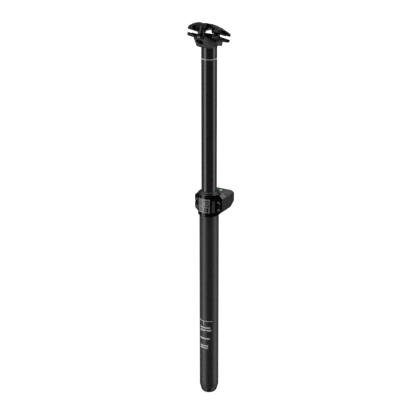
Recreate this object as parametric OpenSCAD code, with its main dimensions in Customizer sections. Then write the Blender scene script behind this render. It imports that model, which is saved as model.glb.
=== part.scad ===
// Dropper seatpost: a sprung stanchion with a two-bolt saddle clamp slides in a lower tube,
// and a battery powered actuator on the collar opens the valve that lets it move.
// +Z runs up the post, +Y points to the front of the bicycle (the actuator side), +X to its right.
// The origin is on the post's axis at the underside of the collar.

/* [Lower post] */
// Outer diameter of the lower tube, clamped in the frame
lower_od = 31.6; // [30.9:0.1:31.8]
// Wall of the lower tube
lower_wall = 1.4; // [1.2:0.1:1.5]
// Wall of the inner tube
inner_wall = 0.7; // [0.5:0.1:0.8]
// Height of the collar
collar_h = 36.5; // [36:0.5:40]
// Radius of the collar's barrel
barrel_r = 18; // [17.8:0.1:18.4]
// Width across the collar's ears
ear_span = 48.6; // [48:0.2:50]
// Thickness of the ears
ear_t = 4.6; // [4:0.2:6]
// Length of the tapered end cap below the tube
cap_len = 16.3; // [16:0.1:20]
// Number of wrench slots in the end cap
cap_slots = 6; // [4:1:8]

/* [Stanchion] */
// Outer diameter of the stanchion
stanchion_od = 25; // [24.8:0.1:25.2]
// Wall of the stanchion
stanchion_wall = 1.8; // [1.5:0.1:2.1]
// How far the saddle drops
travel = 225; // [100:5:250]
// Room left between the collar and the head when fully dropped
rest_gap = 14; // [12:0.5:20]
// Length of stanchion inside the lower tube at full height
overlap = 62; // [50:1:80]

/* [Actuator module] */
// Width of the module
module_w = 48.4; // [48:0.2:50]
// Length of the module forward of the ears, with its battery
module_len = 40.3; // [39.5:0.1:43]
// Length of the housing, up to the battery
housing_len = 31.5; // [31.2:0.1:32.5]
// Wall of the housing
housing_wall = 1.6; // [1.3:0.1:2]
// Diameter of the drive motor
motor_d = 8; // [7:0.2:8.4]
// Lift that the cam gives the valve pin
cam_lift = 1; // [0.6:0.1:1.2]

/* [Saddle clamp] */
// Diameter of the saddle rails
rail_d = 7; // [6.8:0.1:7.4]
// Distance between the two rails
rail_span = 44; // [43:0.5:45]
// Length of the rail grooves
clamp_len = 38; // [35:0.5:40]
// Width across the whole clamp
clamp_w = 55; // [54.5:0.5:58]
// Tilt of the rails at rest, front end down
clamp_tilt = 21; // [19:0.5:22]
// Height of the rails' centre above the top of the stanchion
rail_rise = 18.1; // [18:0.1:20]
// Radius of the trough that the clamp tilts in
trough_r = 20; // [19:0.5:22]
// Distance between the two clamp bolts along the rails
bolt_span = 49; // [48:0.5:51]
// Diameter of the clamp bolts
bolt_d = 5; // [4.8:0.1:5.4]

/* [Hidden] */
$fn = 72;

// Clearance of a sliding fit, on the radius
slide_gap = 0.05;
// Clearance of a fixed fit, on the radius
seat_gap = 0.05;
// Clearance between faces that only pass each other
free_gap = 0.3;

// Radii of the concentric tubes
lower_r = lower_od / 2;
lower_bore_r = lower_r - lower_wall;
air_passage = 0.4;
inner_r = lower_bore_r - air_passage;
inner_bore_r = inner_r - inner_wall;
stanchion_r = stanchion_od / 2;
stanchion_bore_r = stanchion_r - stanchion_wall;

// Heights along the post
nut_rise = 2;
collar_top = collar_h + nut_rise;
head_z = collar_top + travel + rest_gap;
stanchion_end = -overlap;
bumper_t = 5;
plug_h = 11.5;
cap_seat_h = 6;
plug_top = stanchion_end - travel - bumper_t - free_gap;
tube_end = plug_top - plug_h;
cap_end = tube_end - cap_len;

// End cap
cap_band_h = 4.3;
cap_tip_r = 11;
cap_slot_w = 7;
cap_slot_h = 8.6;
cap_slot_depth = 2.4;
cap_well_r = 6.6;
cap_well_h = 11;

// Guide shaft and the keys that stop the stanchion turning
guide_r = 5;
guide_bore_r = 3.6;
guide_foot = 9;
guide_above_plug = 32;
key_count = 3;
key_w = 2.4;
key_depth = 1;
key_len = 6;
key_outer_r = 8;

// Inflation valve on the axis of the end cap
valve_stem_r = 3.5;
valve_stem_len = 15;
valve_bore_r = 1.6;
valve_pin_r = 0.7;
dust_cap_r = 5;
dust_cap_h = 9;

// Collar
bushing_r = stanchion_r + 2.1;
bushing_h = 8;
seal_h = 2.7;
shoulder_h = 3;
nut_r = 15.3;
nut_seat = 2.8;
nut_z = collar_h - nut_seat;
bushing_z = nut_z - seal_h - bushing_h;
tube_seat_h = bushing_z - shoulder_h;
tube_step = 0.3;
tube_seat_r = lower_r - tube_step;
inner_seat_h = tube_seat_h + 2;
spacer_top = inner_seat_h - 0.02;
spacer_foot = stanchion_end + 18.8;
wiper_t = 0.9;
wiper_rise = 1.2;
corner_cut = 8.5;
ear_x = 21;
ear_screw_z = 17.4;
screw_r = 1.5;
screw_head_r = 2.7;
screw_len = 13;
gasket_t = 0.4;
ear_back = -(gasket_t + ear_t);
pocket_depth = 2.4;
pocket_rim = 2;
badge_angle = 66;
badge_t = 0.7;
badge_z = 7.4;
badge_h = collar_h - 12.9;

// Air valve between the collar and the cam
air_valve_z = 14;
air_valve_r = 2.5;
air_valve_start = inner_bore_r + 0.15;
air_valve_end = barrel_r + 2.2;
air_pin_r = 0.9;
valve_boss_r = 4.6;
valve_boss_len = 1.4;

// Module
module_top = 34.2;
barrel_cut_h = max(collar_h, module_top) + 2;
module_drop = 2;
flank_top = 28.2;
chamfer_x = 8.2;
chamfer_z = 6;
flank_foot = 6.5;
belly_y = 20;
nose_z = 14;
barrel_gap = 0.25;
cavity_start = 12;
cavity_foot = 6.5;
front_wall = 1.6;
motor_y = 24.4;
motor_z = air_valve_z;
motor_len = 10.5;
gearbox_len = 6;
cam_w = 4;
cam_sweep = 90;
cam_r = 2.6;
cam_room = 1.6;
motor_end = -21.5;
light_x = 6;
light_y = housing_len - 3.9;
light_r = 1.7;
button_y = 18;
button_r = 2.3;
button_along = 0.45;
board_t = 1;
contact_x = 8;
contact_z = 22;
contact_r = 1;
latch_w = 16;
latch_y = 24.6;
latch_z = 5.6;
latch_pin_r = 1;
latch_hook = 4;
latch_recess = 2.1;
knuckle_r = 2.1;

// Head and clamp
trough_depth = 12;
trough_gap = 0.3;
axis_w = trough_r - trough_depth;
head_w = 16.6;
head_front = 1.3;
cheek_x = 9.6;
head_ring_r = 13.4;
head_ring_h = 2.5;
spigot_len = 18;
flange_top = -8;
flange_t = 4.6;
rim_top = -4.8;
rim_bore_r = 7.2;
rail_r = rail_d / 2;
rail_x = rail_span / 2;
lip = 2.4;
cradle_foot = 7.6;
cradle_web_x = 14.4;
cradle_web_top = 0.6;
cradle_rear = 14;
cradle_fore = 14.5;
ear_rear = clamp_len / 2 + 0.8;
ear_fore = clamp_len / 2;
wing_rear = clamp_len / 2 + 2.6;
wing_fore = clamp_len / 2 - 0.4;
wing_edge = 3.6;
shoulder_w = 10.4;
shoulder_top = 13;
crown_rear = 10;
crown_len = 22;
clamp_top = 14.2;
crown_top = 15.8;
crown_x = 8.5;
bridge_foot = 8.4;
bolt_v = bolt_span / 2;
bolt_head_r = 4.2;
bolt_head_h = 4.4;
bolt_hole_r = bolt_d / 2 + 0.4;
bolt_end = 12.6;
washer_r = 4.4;
washer_t = 1;
nut_bore_gap = 0.55;
clamp_nut_r = 3.5;
clamp_nut_len = 16;
clamp_nut_w = 9.4;
bar_r = 5.2;
bar_len = 17;
lug_r = 5.2;
lug_foot = -3.4;
arm_w = 13;
bolt_slot = 2.8;
rocker_w = 12;

// Ring of material between two radii, from one height to another
module tube(outer, inner, low, high) {
    translate([0, 0, low]) difference() {
        cylinder(r = outer, h = high - low);
        translate([0, 0, -1]) cylinder(r = inner, h = high - low + 2);
    }
}

// Round bar along Y, from one place to another
module bar_y(r, start, end, x = 0, z = 0) {
    translate([x, start, z]) rotate([-90, 0, 0]) cylinder(r = r, h = end - start);
}

// Round bar along X, from one place to another
module bar_x(r, start, end, y = 0, z = 0) {
    translate([start, y, z]) rotate([0, 90, 0]) cylinder(r = r, h = end - start);
}

// Plate drawn in X and Z, from one Y to another
module plate_xz(start, end) {
    translate([0, end, 0]) rotate([90, 0, 0]) linear_extrude(end - start) children();
}

// Plate drawn in Y and Z, from one X to another
module plate_yz(start, end) {
    translate([start, 0, 0]) rotate([90, 0, 90]) linear_extrude(end - start) children();
}

// Two copies, at plus and minus X
module both_sides(x) {
    for (side = [-1, 1]) translate([side * x, 0, 0]) children();
}

// The clamp's own frame: X across, Y along the rails, Z square to them
module clamp_frame() {
    translate([0, 0, head_z + rail_rise]) rotate([-clamp_tilt, 0, 0]) children();
}

// A place in the clamp's frame, as Y and Z of the post
function from_clamp(v, w) = [
    v * cos(clamp_tilt) + w * sin(clamp_tilt),
    head_z + rail_rise - v * sin(clamp_tilt) + w * cos(clamp_tilt)
];

// Lower post

module lower_tube() {
    color("#26272a") difference() {
        union() {
            tube(lower_r, lower_bore_r, tube_end, 0);
            tube(tube_seat_r, lower_bore_r, -tube_step, tube_seat_h);
        }
        bar_y(air_valve_r + seat_gap, 0, lower_r + 2, z = air_valve_z);
    }
}

module inner_tube() {
    color("#9a9c9f") difference() {
        tube(inner_r, inner_bore_r, plug_top - cap_seat_h, inner_seat_h);
        bar_y(air_valve_r + seat_gap, 0, lower_r + 2, z = air_valve_z);
        for (turn = [0:90:270]) rotate([0, 0, turn])
            bar_y(1.2, 0, lower_r, z = plug_top + bumper_t / 2);
    }
}

module end_cap_shape() {
    rotate_extrude() polygon([
        [0, plug_top],
        [inner_bore_r - seat_gap, plug_top],
        [inner_bore_r - seat_gap, plug_top - cap_seat_h],
        [lower_bore_r - seat_gap, plug_top - cap_seat_h],
        [lower_bore_r - seat_gap, tube_end],
        [lower_r, tube_end],
        [lower_r, tube_end - cap_band_h],
        [lower_r - 2.4, tube_end - cap_len + 4.2],
        [cap_tip_r, cap_end],
        [0, cap_end]
    ]);
}

module end_cap() {
    color("#1b1b1d") difference() {
        end_cap_shape();
        translate([0, 0, cap_end - 1]) cylinder(r = cap_well_r, h = cap_well_h + 1);
        translate([0, 0, cap_end]) cylinder(r = valve_stem_r + seat_gap, h = 80);
        translate([0, 0, plug_top - guide_foot]) cylinder(r = guide_r + seat_gap, h = guide_foot + 1);
        translate([0, 0, plug_top - cap_seat_h - 3]) difference() {
            cylinder(r = lower_r, h = 1.6);
            translate([0, 0, -1]) cylinder(r = lower_bore_r - 1.2, h = 4);
        }
        for (slot = [0:cap_slots - 1]) rotate([0, 0, slot * 360 / cap_slots])
            translate([lower_r - 2.4 - cap_slot_depth, -cap_slot_w / 2, cap_end - 1])
                cube([lower_r, cap_slot_w, cap_slot_h + 1]);
    }
}

module end_cap_seal() {
    color("#101010") tube(lower_bore_r - 0.02, lower_bore_r - 1.18,
        plug_top - cap_seat_h - 2.95, plug_top - cap_seat_h - 1.45);
}

module key_places() {
    for (key = [0:key_count - 1]) rotate([0, 0, key * 360 / key_count]) children();
}

module guide_shaft() {
    shaft_len = guide_foot + plug_gap() + guide_above_plug;
    color("#b9bbbe") translate([0, 0, plug_top - guide_foot]) difference() {
        cylinder(r = guide_r, h = shaft_len);
        translate([0, 0, -1]) cylinder(r = guide_bore_r, h = shaft_len + 2);
        key_places() translate([guide_r - key_depth, -key_w / 2, guide_foot + 1])
            cube([guide_r, key_w, shaft_len]);
    }
}

// From the top of the end cap's plug to the lower end of the stanchion at full height
function plug_gap() = stanchion_end - plug_top;

module bottom_bumper() {
    color("#161616") tube(guide_r + 4.4, guide_r + seat_gap, plug_top, plug_top + bumper_t);
}

module inflation_valve() {
    color("#b08d4a") difference() {
        tube(valve_stem_r, valve_bore_r, cap_end + 2.6, cap_end + 2.6 + valve_stem_len);
        translate([0, 0, cap_end + 2]) cylinder(r = valve_stem_r - 1, h = 2.4);
    }
}

module valve_core_pin() {
    color("#c9a85a") translate([0, 0, cap_end + 3.4]) {
        cylinder(r = valve_pin_r, h = valve_stem_len - 4);
        translate([0, 0, 5]) cylinder(r = valve_bore_r - slide_gap, h = 3);
    }
}

module valve_dust_cap() {
    color("#1c1c1e") translate([0, 0, cap_end + 0.4]) difference() {
        cylinder(r = dust_cap_r, h = dust_cap_h);
        translate([0, 0, 1.6]) cylinder(r = valve_stem_r + seat_gap, h = dust_cap_h);
        for (rib = [0:15]) rotate([0, 0, rib * 22.5])
            translate([dust_cap_r - 0.35, -0.35, 1.2]) cube([1, 0.7, dust_cap_h]);
    }
}

// Collar

module collar_outline(half, rim = 0) {
    cut = corner_cut + rim * 0.4;
    low = rim;
    high = collar_h - rim;
    polygon([
        [-half + rim, low + cut - rim], [-half - rim + cut, low],
        [half + rim - cut, low], [half - rim, low + cut - rim],
        [half - rim, high - cut + rim], [half + rim - cut, high],
        [-half - rim + cut, high], [-half + rim, high - cut + rim]
    ]);
}

module ear_pocket() {
    intersection() {
        plate_xz(ear_back - 1, ear_back + pocket_depth) collar_outline(ear_span / 2, pocket_rim);
        translate([barrel_r - 0.6, -20, 0]) cube([20, 40, collar_h]);
    }
}

module collar() {
    color("#141415") difference() {
        union() {
            cylinder(r = barrel_r, h = collar_h);
            plate_xz(ear_back, -gasket_t) collar_outline(ear_span / 2);
            bar_y(valve_boss_r, 0, barrel_r + valve_boss_len, z = air_valve_z);
        }
        translate([0, 0, -1]) cylinder(r = tube_seat_r + seat_gap, h = tube_seat_h + 1);
        cylinder(r = inner_r + seat_gap, h = inner_seat_h);
        cylinder(r = stanchion_r + 0.5, h = collar_h + 1);
        translate([0, 0, bushing_z]) cylinder(r = bushing_r + seat_gap, h = collar_h);
        translate([0, 0, nut_z]) cylinder(r = nut_r + seat_gap, h = collar_h);
        bar_y(air_valve_r + seat_gap, 0, barrel_r + 20, z = air_valve_z);
        for (side = [0, 1]) mirror([side, 0, 0]) difference() {
            ear_pocket();
            bar_y(screw_head_r + 1.4, ear_back + 0.5, 0, x = ear_x, z = ear_screw_z);
        }
        both_sides(ear_x) {
            bar_y(screw_r + 0.15, ear_back - 1, 1, z = ear_screw_z);
            bar_y(screw_head_r + 0.2, ear_back - 1, ear_back + 2.6, z = ear_screw_z);
        }
        badge_shape(barrel_r + 1, barrel_r - badge_t, seat_gap);
    }
}

// The curved panel on the back of the barrel
module badge_shape(outer, inner, grow) {
    spread = badge_angle / 2 + grow;
    translate([0, 0, badge_z - grow]) difference() {
        intersection() {
            cylinder(r = outer, h = badge_h + 2 * grow);
            translate([0, 0, -1]) linear_extrude(badge_h + 4) polygon([
                [0, 0],
                [40 * sin(-spread), -40 * cos(spread)],
                [0, -60],
                [40 * sin(spread), -40 * cos(spread)]
            ]);
        }
        translate([0, 0, -1]) cylinder(r = inner, h = badge_h + 4);
    }
}

module badge_plate() {
    color("#8d8f91") badge_shape(barrel_r + 0.25, barrel_r - badge_t + seat_gap, 0);
}

module upper_bushing() {
    color("#5b5c60") tube(bushing_r, stanchion_r + slide_gap, bushing_z, bushing_z + bushing_h);
}

module shaft_seal() {
    color("#0f0f10") tube(bushing_r, stanchion_r + slide_gap,
        bushing_z + bushing_h + 0.02, nut_z - 0.02);
}

module travel_spacer() {
    color("#3a3b3e") difference() {
        tube(inner_bore_r - 0.1, stanchion_r + 0.1, spacer_foot, spacer_top);
        bar_y(air_valve_r + seat_gap, 0, lower_r, z = air_valve_z);
    }
}

module seal_nut() {
    color("#1a1a1b") difference() {
        rotate_extrude() polygon([
            [stanchion_r + wiper_t, nut_z],
            [nut_r, nut_z],
            [nut_r, collar_top - 0.8],
            [nut_r - 0.8, collar_top],
            [stanchion_r + wiper_t + 0.4, collar_top],
            [stanchion_r + wiper_t, collar_top - 0.4]
        ]);
        for (notch = [45:90:315]) rotate([0, 0, notch])
            translate([nut_r - 0.9, -1.5, collar_h + 0.6]) cube([3, 3, nut_rise]);
    }
}

module wiper() {
    color("#0c0c0d") rotate_extrude() polygon([
        [stanchion_r + slide_gap, nut_z],
        [stanchion_r + wiper_t - 0.03, nut_z],
        [stanchion_r + wiper_t - 0.03, collar_top - 0.2],
        [stanchion_r + 0.4, collar_top + wiper_rise],
        [stanchion_r + slide_gap, collar_top + wiper_rise]
    ]);
}

module module_screws() {
    color("#2c2c2f") both_sides(ear_x) difference() {
        union() {
            bar_y(screw_head_r, ear_back, ear_back + 2.6, z = ear_screw_z);
            bar_y(screw_r, ear_back + 2, screw_len, z = ear_screw_z);
        }
        translate([0, ear_back - 1, ear_screw_z]) rotate([-90, 0, 0])
            cylinder(r = 1.35, h = 2.6, $fn = 6);
    }
}

// Actuator module

// The module seen from behind
module module_outline(inset = 0) {
    half = module_w / 2 - inset;
    polygon([
        [-half, flank_foot + inset * 0.4], [-half + chamfer_x, inset],
        [half - chamfer_x, inset], [half, flank_foot + inset * 0.4],
        [half, flank_top - inset * 0.3],
        [half - chamfer_x * 1.3, flank_top + chamfer_z * 1.3 - inset * 0.3],
        [-half + chamfer_x * 1.3, flank_top + chamfer_z * 1.3 - inset * 0.3],
        [-half, flank_top - inset * 0.3]
    ]);
}

// The module seen from the side
module module_profile(top_inset = 0, foot_inset = 0) {
    polygon([
        [0, foot_inset], [belly_y, foot_inset], [module_len, nose_z + foot_inset],
        [module_len, module_top - module_drop - 1.2 - top_inset],
        [module_len - 1.2, module_top - module_drop - top_inset],
        [0, module_top - top_inset]
    ]);
}

module module_envelope(start, end) {
    intersection() {
        plate_xz(start, end) module_outline();
        plate_yz(-module_w, module_w) module_profile();
    }
}

module module_cavity() {
    intersection() {
        plate_xz(cavity_start, housing_len - front_wall) module_outline(housing_wall);
        plate_yz(-module_w, module_w) module_profile(housing_wall, cavity_foot);
    }
}

// Height of the module's top at a distance from the ears
function top_at(y) = module_top - module_drop * y / (module_len - 1.2);

// Slope of the module's nose
nose_slope = atan2(nose_z, module_len - belly_y);

// The space that the latch lies in, drawn in Y and Z
module latch_space() {
    polygon([
        [latch_y - knuckle_r - 0.4, -2],
        [latch_y - knuckle_r - 0.4, latch_z + 1.4],
        [latch_y - 0.8, latch_z + knuckle_r + 0.3],
        [latch_y + 1.6, latch_z + knuckle_r + 0.3],
        [module_len - 3.4, nose_z + latch_recess - 1.8],
        [module_len - 1.7, nose_z + latch_recess],
        [module_len - 1.7, nose_z + latch_hook + 0.5],
        [module_len + 2, nose_z + latch_hook + 0.5],
        [module_len + 2, -2]
    ]);
}

module latch_cut() {
    plate_yz(-latch_w / 2 - 0.25, latch_w / 2 + 0.25) latch_space();
}

module motor_pad() {
    intersection() {
        translate([motor_end + 0.5, motor_y - 3.6, 0])
            cube([motor_len + gearbox_len - 1, 7.2, motor_z - 1]);
        module_envelope(0, housing_len);
    }
}

module module_housing() {
    color("#232325") difference() {
        union() {
            difference() {
                module_envelope(0, housing_len);
                module_cavity();
            }
            motor_pad();
        }
        translate([0, 0, -1]) cylinder(r = barrel_r + barrel_gap, h = barrel_cut_h);
        bar_y(valve_boss_r + barrel_gap, 0, barrel_r + valve_boss_len + barrel_gap, z = air_valve_z);
        both_sides(ear_x) bar_y(screw_r + seat_gap, -1, screw_len + 1, z = ear_screw_z);
        bar_x(motor_d / 2 + seat_gap, motor_end - 0.1, -cam_w / 2, motor_y, motor_z);
        bar_x(cam_r + cam_lift * cam_room, -cam_w / 2 - free_gap, cam_w / 2 + free_gap,
            motor_y, motor_z);
        latch_cut();
        bar_x(latch_pin_r + seat_gap, -latch_w / 2 - 3, latch_w / 2 + 3, latch_y, latch_z);
        translate([light_x, light_y, 20]) cylinder(r = light_r + seat_gap, h = 20);
        button_place() translate([0, 0, -3]) cylinder(r = button_r + slide_gap, h = 5);
        for (side = [-1, 1]) bar_y(contact_r + seat_gap, housing_len - 4, housing_len + 1,
            x = side * contact_x, z = contact_z);
    }
}

// Frame of the button: Z square to the shoulder, outwards
module button_place() {
    translate([
        module_w / 2 - chamfer_x * button_along,
        button_y,
        flank_top + chamfer_z * button_along
    ]) rotate([0, 90 - atan2(chamfer_x, chamfer_z), 0]) children();
}

module function_button() {
    color("#0e0e0f") button_place() translate([0, 0, -1.3]) {
        cylinder(r = button_r, h = 1.6);
        cylinder(r = button_r - 0.5, h = 1.8);
    }
}

module status_light() {
    color("#7fe07f") translate([light_x, light_y, top_at(light_y) - housing_wall - 0.3]) {
        cylinder(r = light_r, h = housing_wall + 0.3);
        cylinder(r = light_r - 0.4, h = housing_wall + 0.5);
    }
}

module circuit_board() {
    board_z = top_at(housing_len) - housing_wall - board_t - 0.4;
    color("#1e5a34") translate([-16, barrel_r + 1.2, board_z])
        cube([30, housing_len - front_wall - barrel_r - 1.4, board_t]);
    color("#222222") translate([-12, barrel_r + 3, board_z - 1.2]) cube([6, 5, 1.2]);
}

module module_gasket() {
    color("#0d0d0d") difference() {
        plate_xz(-gasket_t, 0) intersection() {
            module_outline();
            translate([-40, 0]) square([80, module_top]);
        }
        translate([0, 0, -1]) cylinder(r = barrel_r + barrel_gap, h = barrel_cut_h);
        both_sides(ear_x) bar_y(screw_r + 0.15, -1, 1, z = ear_screw_z);
    }
}

module motor() {
    color("#a5a7aa") bar_x(motor_d / 2, motor_end, motor_end + motor_len, motor_y, motor_z);
}

module gearbox() {
    color("#c2a14e") difference() {
        bar_x(motor_d / 2, motor_end + motor_len, motor_end + motor_len + gearbox_len,
            motor_y, motor_z);
        bar_x(1 + slide_gap, motor_end + motor_len + 2, 0, motor_y, motor_z);
    }
}

// Cam whose radius grows evenly as it turns
module cam() {
    steps = 24;
    reach = cam_sweep + 30;
    outline = [for (s = [0:steps]) let (turn = s * 360 / steps)
        let (rise = turn <= reach ? cam_lift * turn / cam_sweep
            : cam_lift * reach / cam_sweep * (360 - turn) / (360 - reach))
        (cam_r + rise) * [-cos(turn), sin(turn)]];
    color("#d8d8da") {
        translate([0, motor_y, motor_z]) plate_yz(-cam_w / 2, cam_w / 2)
            polygon([for (s = [0:steps - 1]) outline[s]]);
        bar_x(1, motor_end + motor_len + 2.2, -cam_w / 2 + 0.1, motor_y, motor_z);
    }
}

module air_valve_body() {
    color("#9c7f3f") difference() {
        bar_y(air_valve_r, air_valve_start, air_valve_end - 1, z = air_valve_z);
        bar_y(air_pin_r + slide_gap, air_valve_start - 1, air_valve_end + 1, z = air_valve_z);
    }
}

module air_valve_pin() {
    color("#d9dadb") bar_y(air_pin_r, air_valve_start + cam_lift + 0.5, motor_y - cam_r - 0.25,
        z = air_valve_z);
}

module battery_contacts() {
    color("#d4b45c") for (side = [-1, 1])
        bar_y(contact_r, housing_len - 3.4, housing_len + 0.8, x = side * contact_x, z = contact_z);
}

module battery() {
    color("#2b2b2e") difference() {
        module_envelope(housing_len + 0.15, module_len);
        latch_cut();
        for (side = [-1, 1]) bar_y(contact_r + 0.3, housing_len - 1, housing_len + 1.4,
            x = side * contact_x, z = contact_z);
    }
}

module battery_latch() {
    color("#151516") difference() {
        union() {
            plate_yz(-latch_w / 2, latch_w / 2) polygon([
                [latch_y, latch_z - knuckle_r],
                [latch_y + 1.2, latch_z + knuckle_r - 0.5],
                [latch_y + 1.6, latch_z + knuckle_r - 0.4],
                [module_len - 3.2, nose_z + latch_recess - 2.1],
                [module_len - 1.4, nose_z + latch_recess - 0.3],
                [module_len - 1.4, nose_z + latch_hook],
                [module_len, nose_z + latch_hook],
                [module_len, nose_z],
                [belly_y + 5.5, tan(nose_slope) * 5.5]
            ]);
            bar_x(knuckle_r, -latch_w / 2, latch_w / 2, latch_y, latch_z);
        }
        bar_x(latch_pin_r + slide_gap, -latch_w, latch_w, latch_y, latch_z);
    }
}

module latch_pin() {
    color("#b5b7ba") bar_x(latch_pin_r, -latch_w / 2 - 2.8, latch_w / 2 + 2.8, latch_y, latch_z);
}

// Stanchion

module stanchion() {
    color("#17181a") tube(stanchion_r, stanchion_bore_r, stanchion_end + 8, head_z);
}

module stanchion_plug() {
    plug_r = inner_bore_r - 0.2;
    color("#a9abad") difference() {
        union() {
            translate([0, 0, stanchion_end]) cylinder(r = plug_r, h = 8);
            translate([0, 0, stanchion_end]) cylinder(r = stanchion_bore_r - seat_gap, h = 18);
        }
        translate([0, 0, stanchion_end - 1]) cylinder(r = guide_r + 0.25, h = 20);
        translate([0, 0, stanchion_end + 3]) difference() {
            cylinder(r = plug_r + 1, h = 2.2);
            translate([0, 0, -1]) cylinder(r = plug_r - 1.2, h = 5);
        }
        key_places() translate([0, -key_w / 2, stanchion_end + 9])
            cube([key_outer_r, key_w, key_len]);
    }
}

module anti_rotation_keys() {
    color("#c8a24a") key_places()
        translate([guide_r - key_depth + 0.1, -key_w / 2 + slide_gap, stanchion_end + 9])
            cube([key_outer_r - guide_r + key_depth - 0.15, key_w - 2 * slide_gap, key_len]);
}

module piston_seal() {
    plug_r = inner_bore_r - 0.2;
    color("#0f0f10") tube(inner_bore_r - slide_gap, plug_r - 1.15,
        stanchion_end + 3.05, stanchion_end + 5.15);
}

module glide_ring() {
    color("#6a6b6e") tube(inner_bore_r - slide_gap, stanchion_r + 0.02,
        stanchion_end + 8.02, stanchion_end + 16);
}

module top_out_bumper() {
    color("#1b1b1b") tube(inner_bore_r - 0.1, stanchion_r + 0.05,
        stanchion_end + 16.02, stanchion_end + 18.5);
}

// Head

module head_profile() {
    seat = flange_top - flange_t;
    polygon([
        from_clamp(-bolt_v - 6, flange_top),
        from_clamp(bolt_v - 8, flange_top),
        from_clamp(bolt_v - 7.5, rim_top),
        from_clamp(bolt_v + 5.7, rim_top),
        from_clamp(bolt_v + 5.5, seat),
        from_clamp(bolt_v - 3.5, seat - 1),
        [stanchion_r + 0.7, head_z],
        [-stanchion_r - 2, head_z],
        [-stanchion_r - 8.7, head_z + 3.8],
        [-stanchion_r - 12.9, head_z + 11],
        [-stanchion_r - 16.3, head_z + 20.5]
    ]);
}

// The head seen from above
module head_plan() {
    side = head_w / 2;
    front = side + head_front;
    polygon([
        [-side + 1, -34], [side - 1, -34], [side, -26], [side, 9], [front, 13],
        [front, 26], [side - 0.5, 34], [-side + 0.5, 34], [-front, 26],
        [-front, 13], [-side, 9], [-side, -26]
    ]);
}

// Web beside the trough, with a straight ridge
module head_cheek() {
    plate_yz(rocker_w / 2 + 0.6, cheek_x) polygon([
        [-29, head_z + 15.7], [-22.7, head_z + 19.3], [-15.6, head_z + 17],
        [11.5, head_z + 1.4], [4, head_z], [-10.8, head_z + 2]
    ]);
}

module head_body() {
    difference() {
        union() {
            intersection() {
                plate_yz(-30, 30) head_profile();
                linear_extrude(head_z + 80) head_plan();
            }
            translate([0, 0, head_z]) cylinder(r = head_ring_r, h = head_ring_h);
            translate([0, 0, head_z - spigot_len])
                cylinder(r = stanchion_bore_r - seat_gap, h = spigot_len + 1);
        }
        clamp_frame() {
            translate([0, 0, axis_w]) rotate([0, 90, 0])
                cylinder(r = trough_r + trough_gap, h = 80, center = true);
            for (end = [-1, 1]) translate([0, end * bolt_v, 0]) {
                translate([0, 0, -40]) cylinder(r = bolt_hole_r, h = 60);
                translate([0, 0, flange_top]) cylinder(r = rim_bore_r, h = 20);
                translate([0, 0, flange_top - flange_t - 30]) cylinder(r = washer_r + 0.6, h = 30);
            }
        }
        translate([0, 0, head_z - spigot_len - 1])
            cylinder(r = stanchion_bore_r - 3, h = spigot_len);
        translate([0, 0, head_z - spigot_len + 4]) difference() {
            cylinder(r = stanchion_r, h = 2);
            translate([0, 0, -1]) cylinder(r = stanchion_bore_r - 1.3, h = 4);
        }
    }
}

module head_forging() {
    color("#2a2b2d") {
        head_body();
        head_cheek();
        mirror([1, 0, 0]) head_cheek();
    }
}

module head_seal() {
    color("#0f0f10") tube(stanchion_bore_r - 0.02, stanchion_bore_r - 1.27,
        head_z - spigot_len + 4.05, head_z - spigot_len + 5.95);
}

// Saddle clamp, drawn in the clamp's frame

// Grooves for both rails
module rail_grooves() {
    both_sides(rail_x) translate([0, -clamp_len, 0]) rotate([-90, 0, 0])
        cylinder(r = rail_r, h = 2 * clamp_len);
}

// Ear under one rail, drawn along the rails
module cradle_side() {
    polygon([
        [-ear_rear, -lip], [-ear_rear, -lip - 4.2], [-ear_rear + 3.8, -cradle_foot],
        [ear_fore - 5, -cradle_foot], [ear_fore, -lip - 3.2], [ear_fore, -lip]
    ]);
}

module rail_cradle() {
    color("#1d1d1f") clamp_frame() difference() {
        union() {
            for (side = [-1, 1]) plate_yz(
                side > 0 ? rail_x - 6 : -clamp_w / 2,
                side > 0 ? clamp_w / 2 : -rail_x + 6) cradle_side();
            translate([-rail_x + 2, -cradle_rear, -5])
                cube([2 * rail_x - 4, cradle_rear + cradle_fore, 5 - lip]);
            translate([-cradle_web_x, -cradle_rear, -4])
                cube([2 * cradle_web_x, cradle_rear + cradle_fore, 4 + cradle_web_top]);
            intersection() {
                translate([0, 0, axis_w]) rotate([0, 90, 0])
                    cylinder(r = trough_r, h = rocker_w, center = true);
                translate([-head_w, -14, -trough_depth - 1])
                    cube([2 * head_w, 28, trough_depth - 2]);
            }
        }
        rail_grooves();
        translate([-6, -9, -3.6]) cube([12, 18, 5]);
    }
}

// Upper clamp seen along the rails
module clamp_section() {
    wing_x = clamp_w / 2;
    polygon([
        [-wing_x, lip], [-wing_x, lip + wing_edge], [-rail_x, shoulder_w],
        [-rail_x + 5, shoulder_top], [-rail_x + 9, clamp_top], [rail_x - 9, clamp_top],
        [rail_x - 5, shoulder_top], [rail_x, shoulder_w], [wing_x, lip + wing_edge],
        [wing_x, lip], [rail_x - 6.4, lip],
        [rail_x - 9, bridge_foot - 2], [rail_x - 12, bridge_foot],
        [-rail_x + 12, bridge_foot], [-rail_x + 9, bridge_foot - 2], [-rail_x + 6.4, lip]
    ]);
}

// Falls away above the front of each wing
module wing_slope() {
    plate_yz(-10, 10) polygon([[4, 12], [20, 6.4], [20, 20], [4, 20]]);
}

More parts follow.
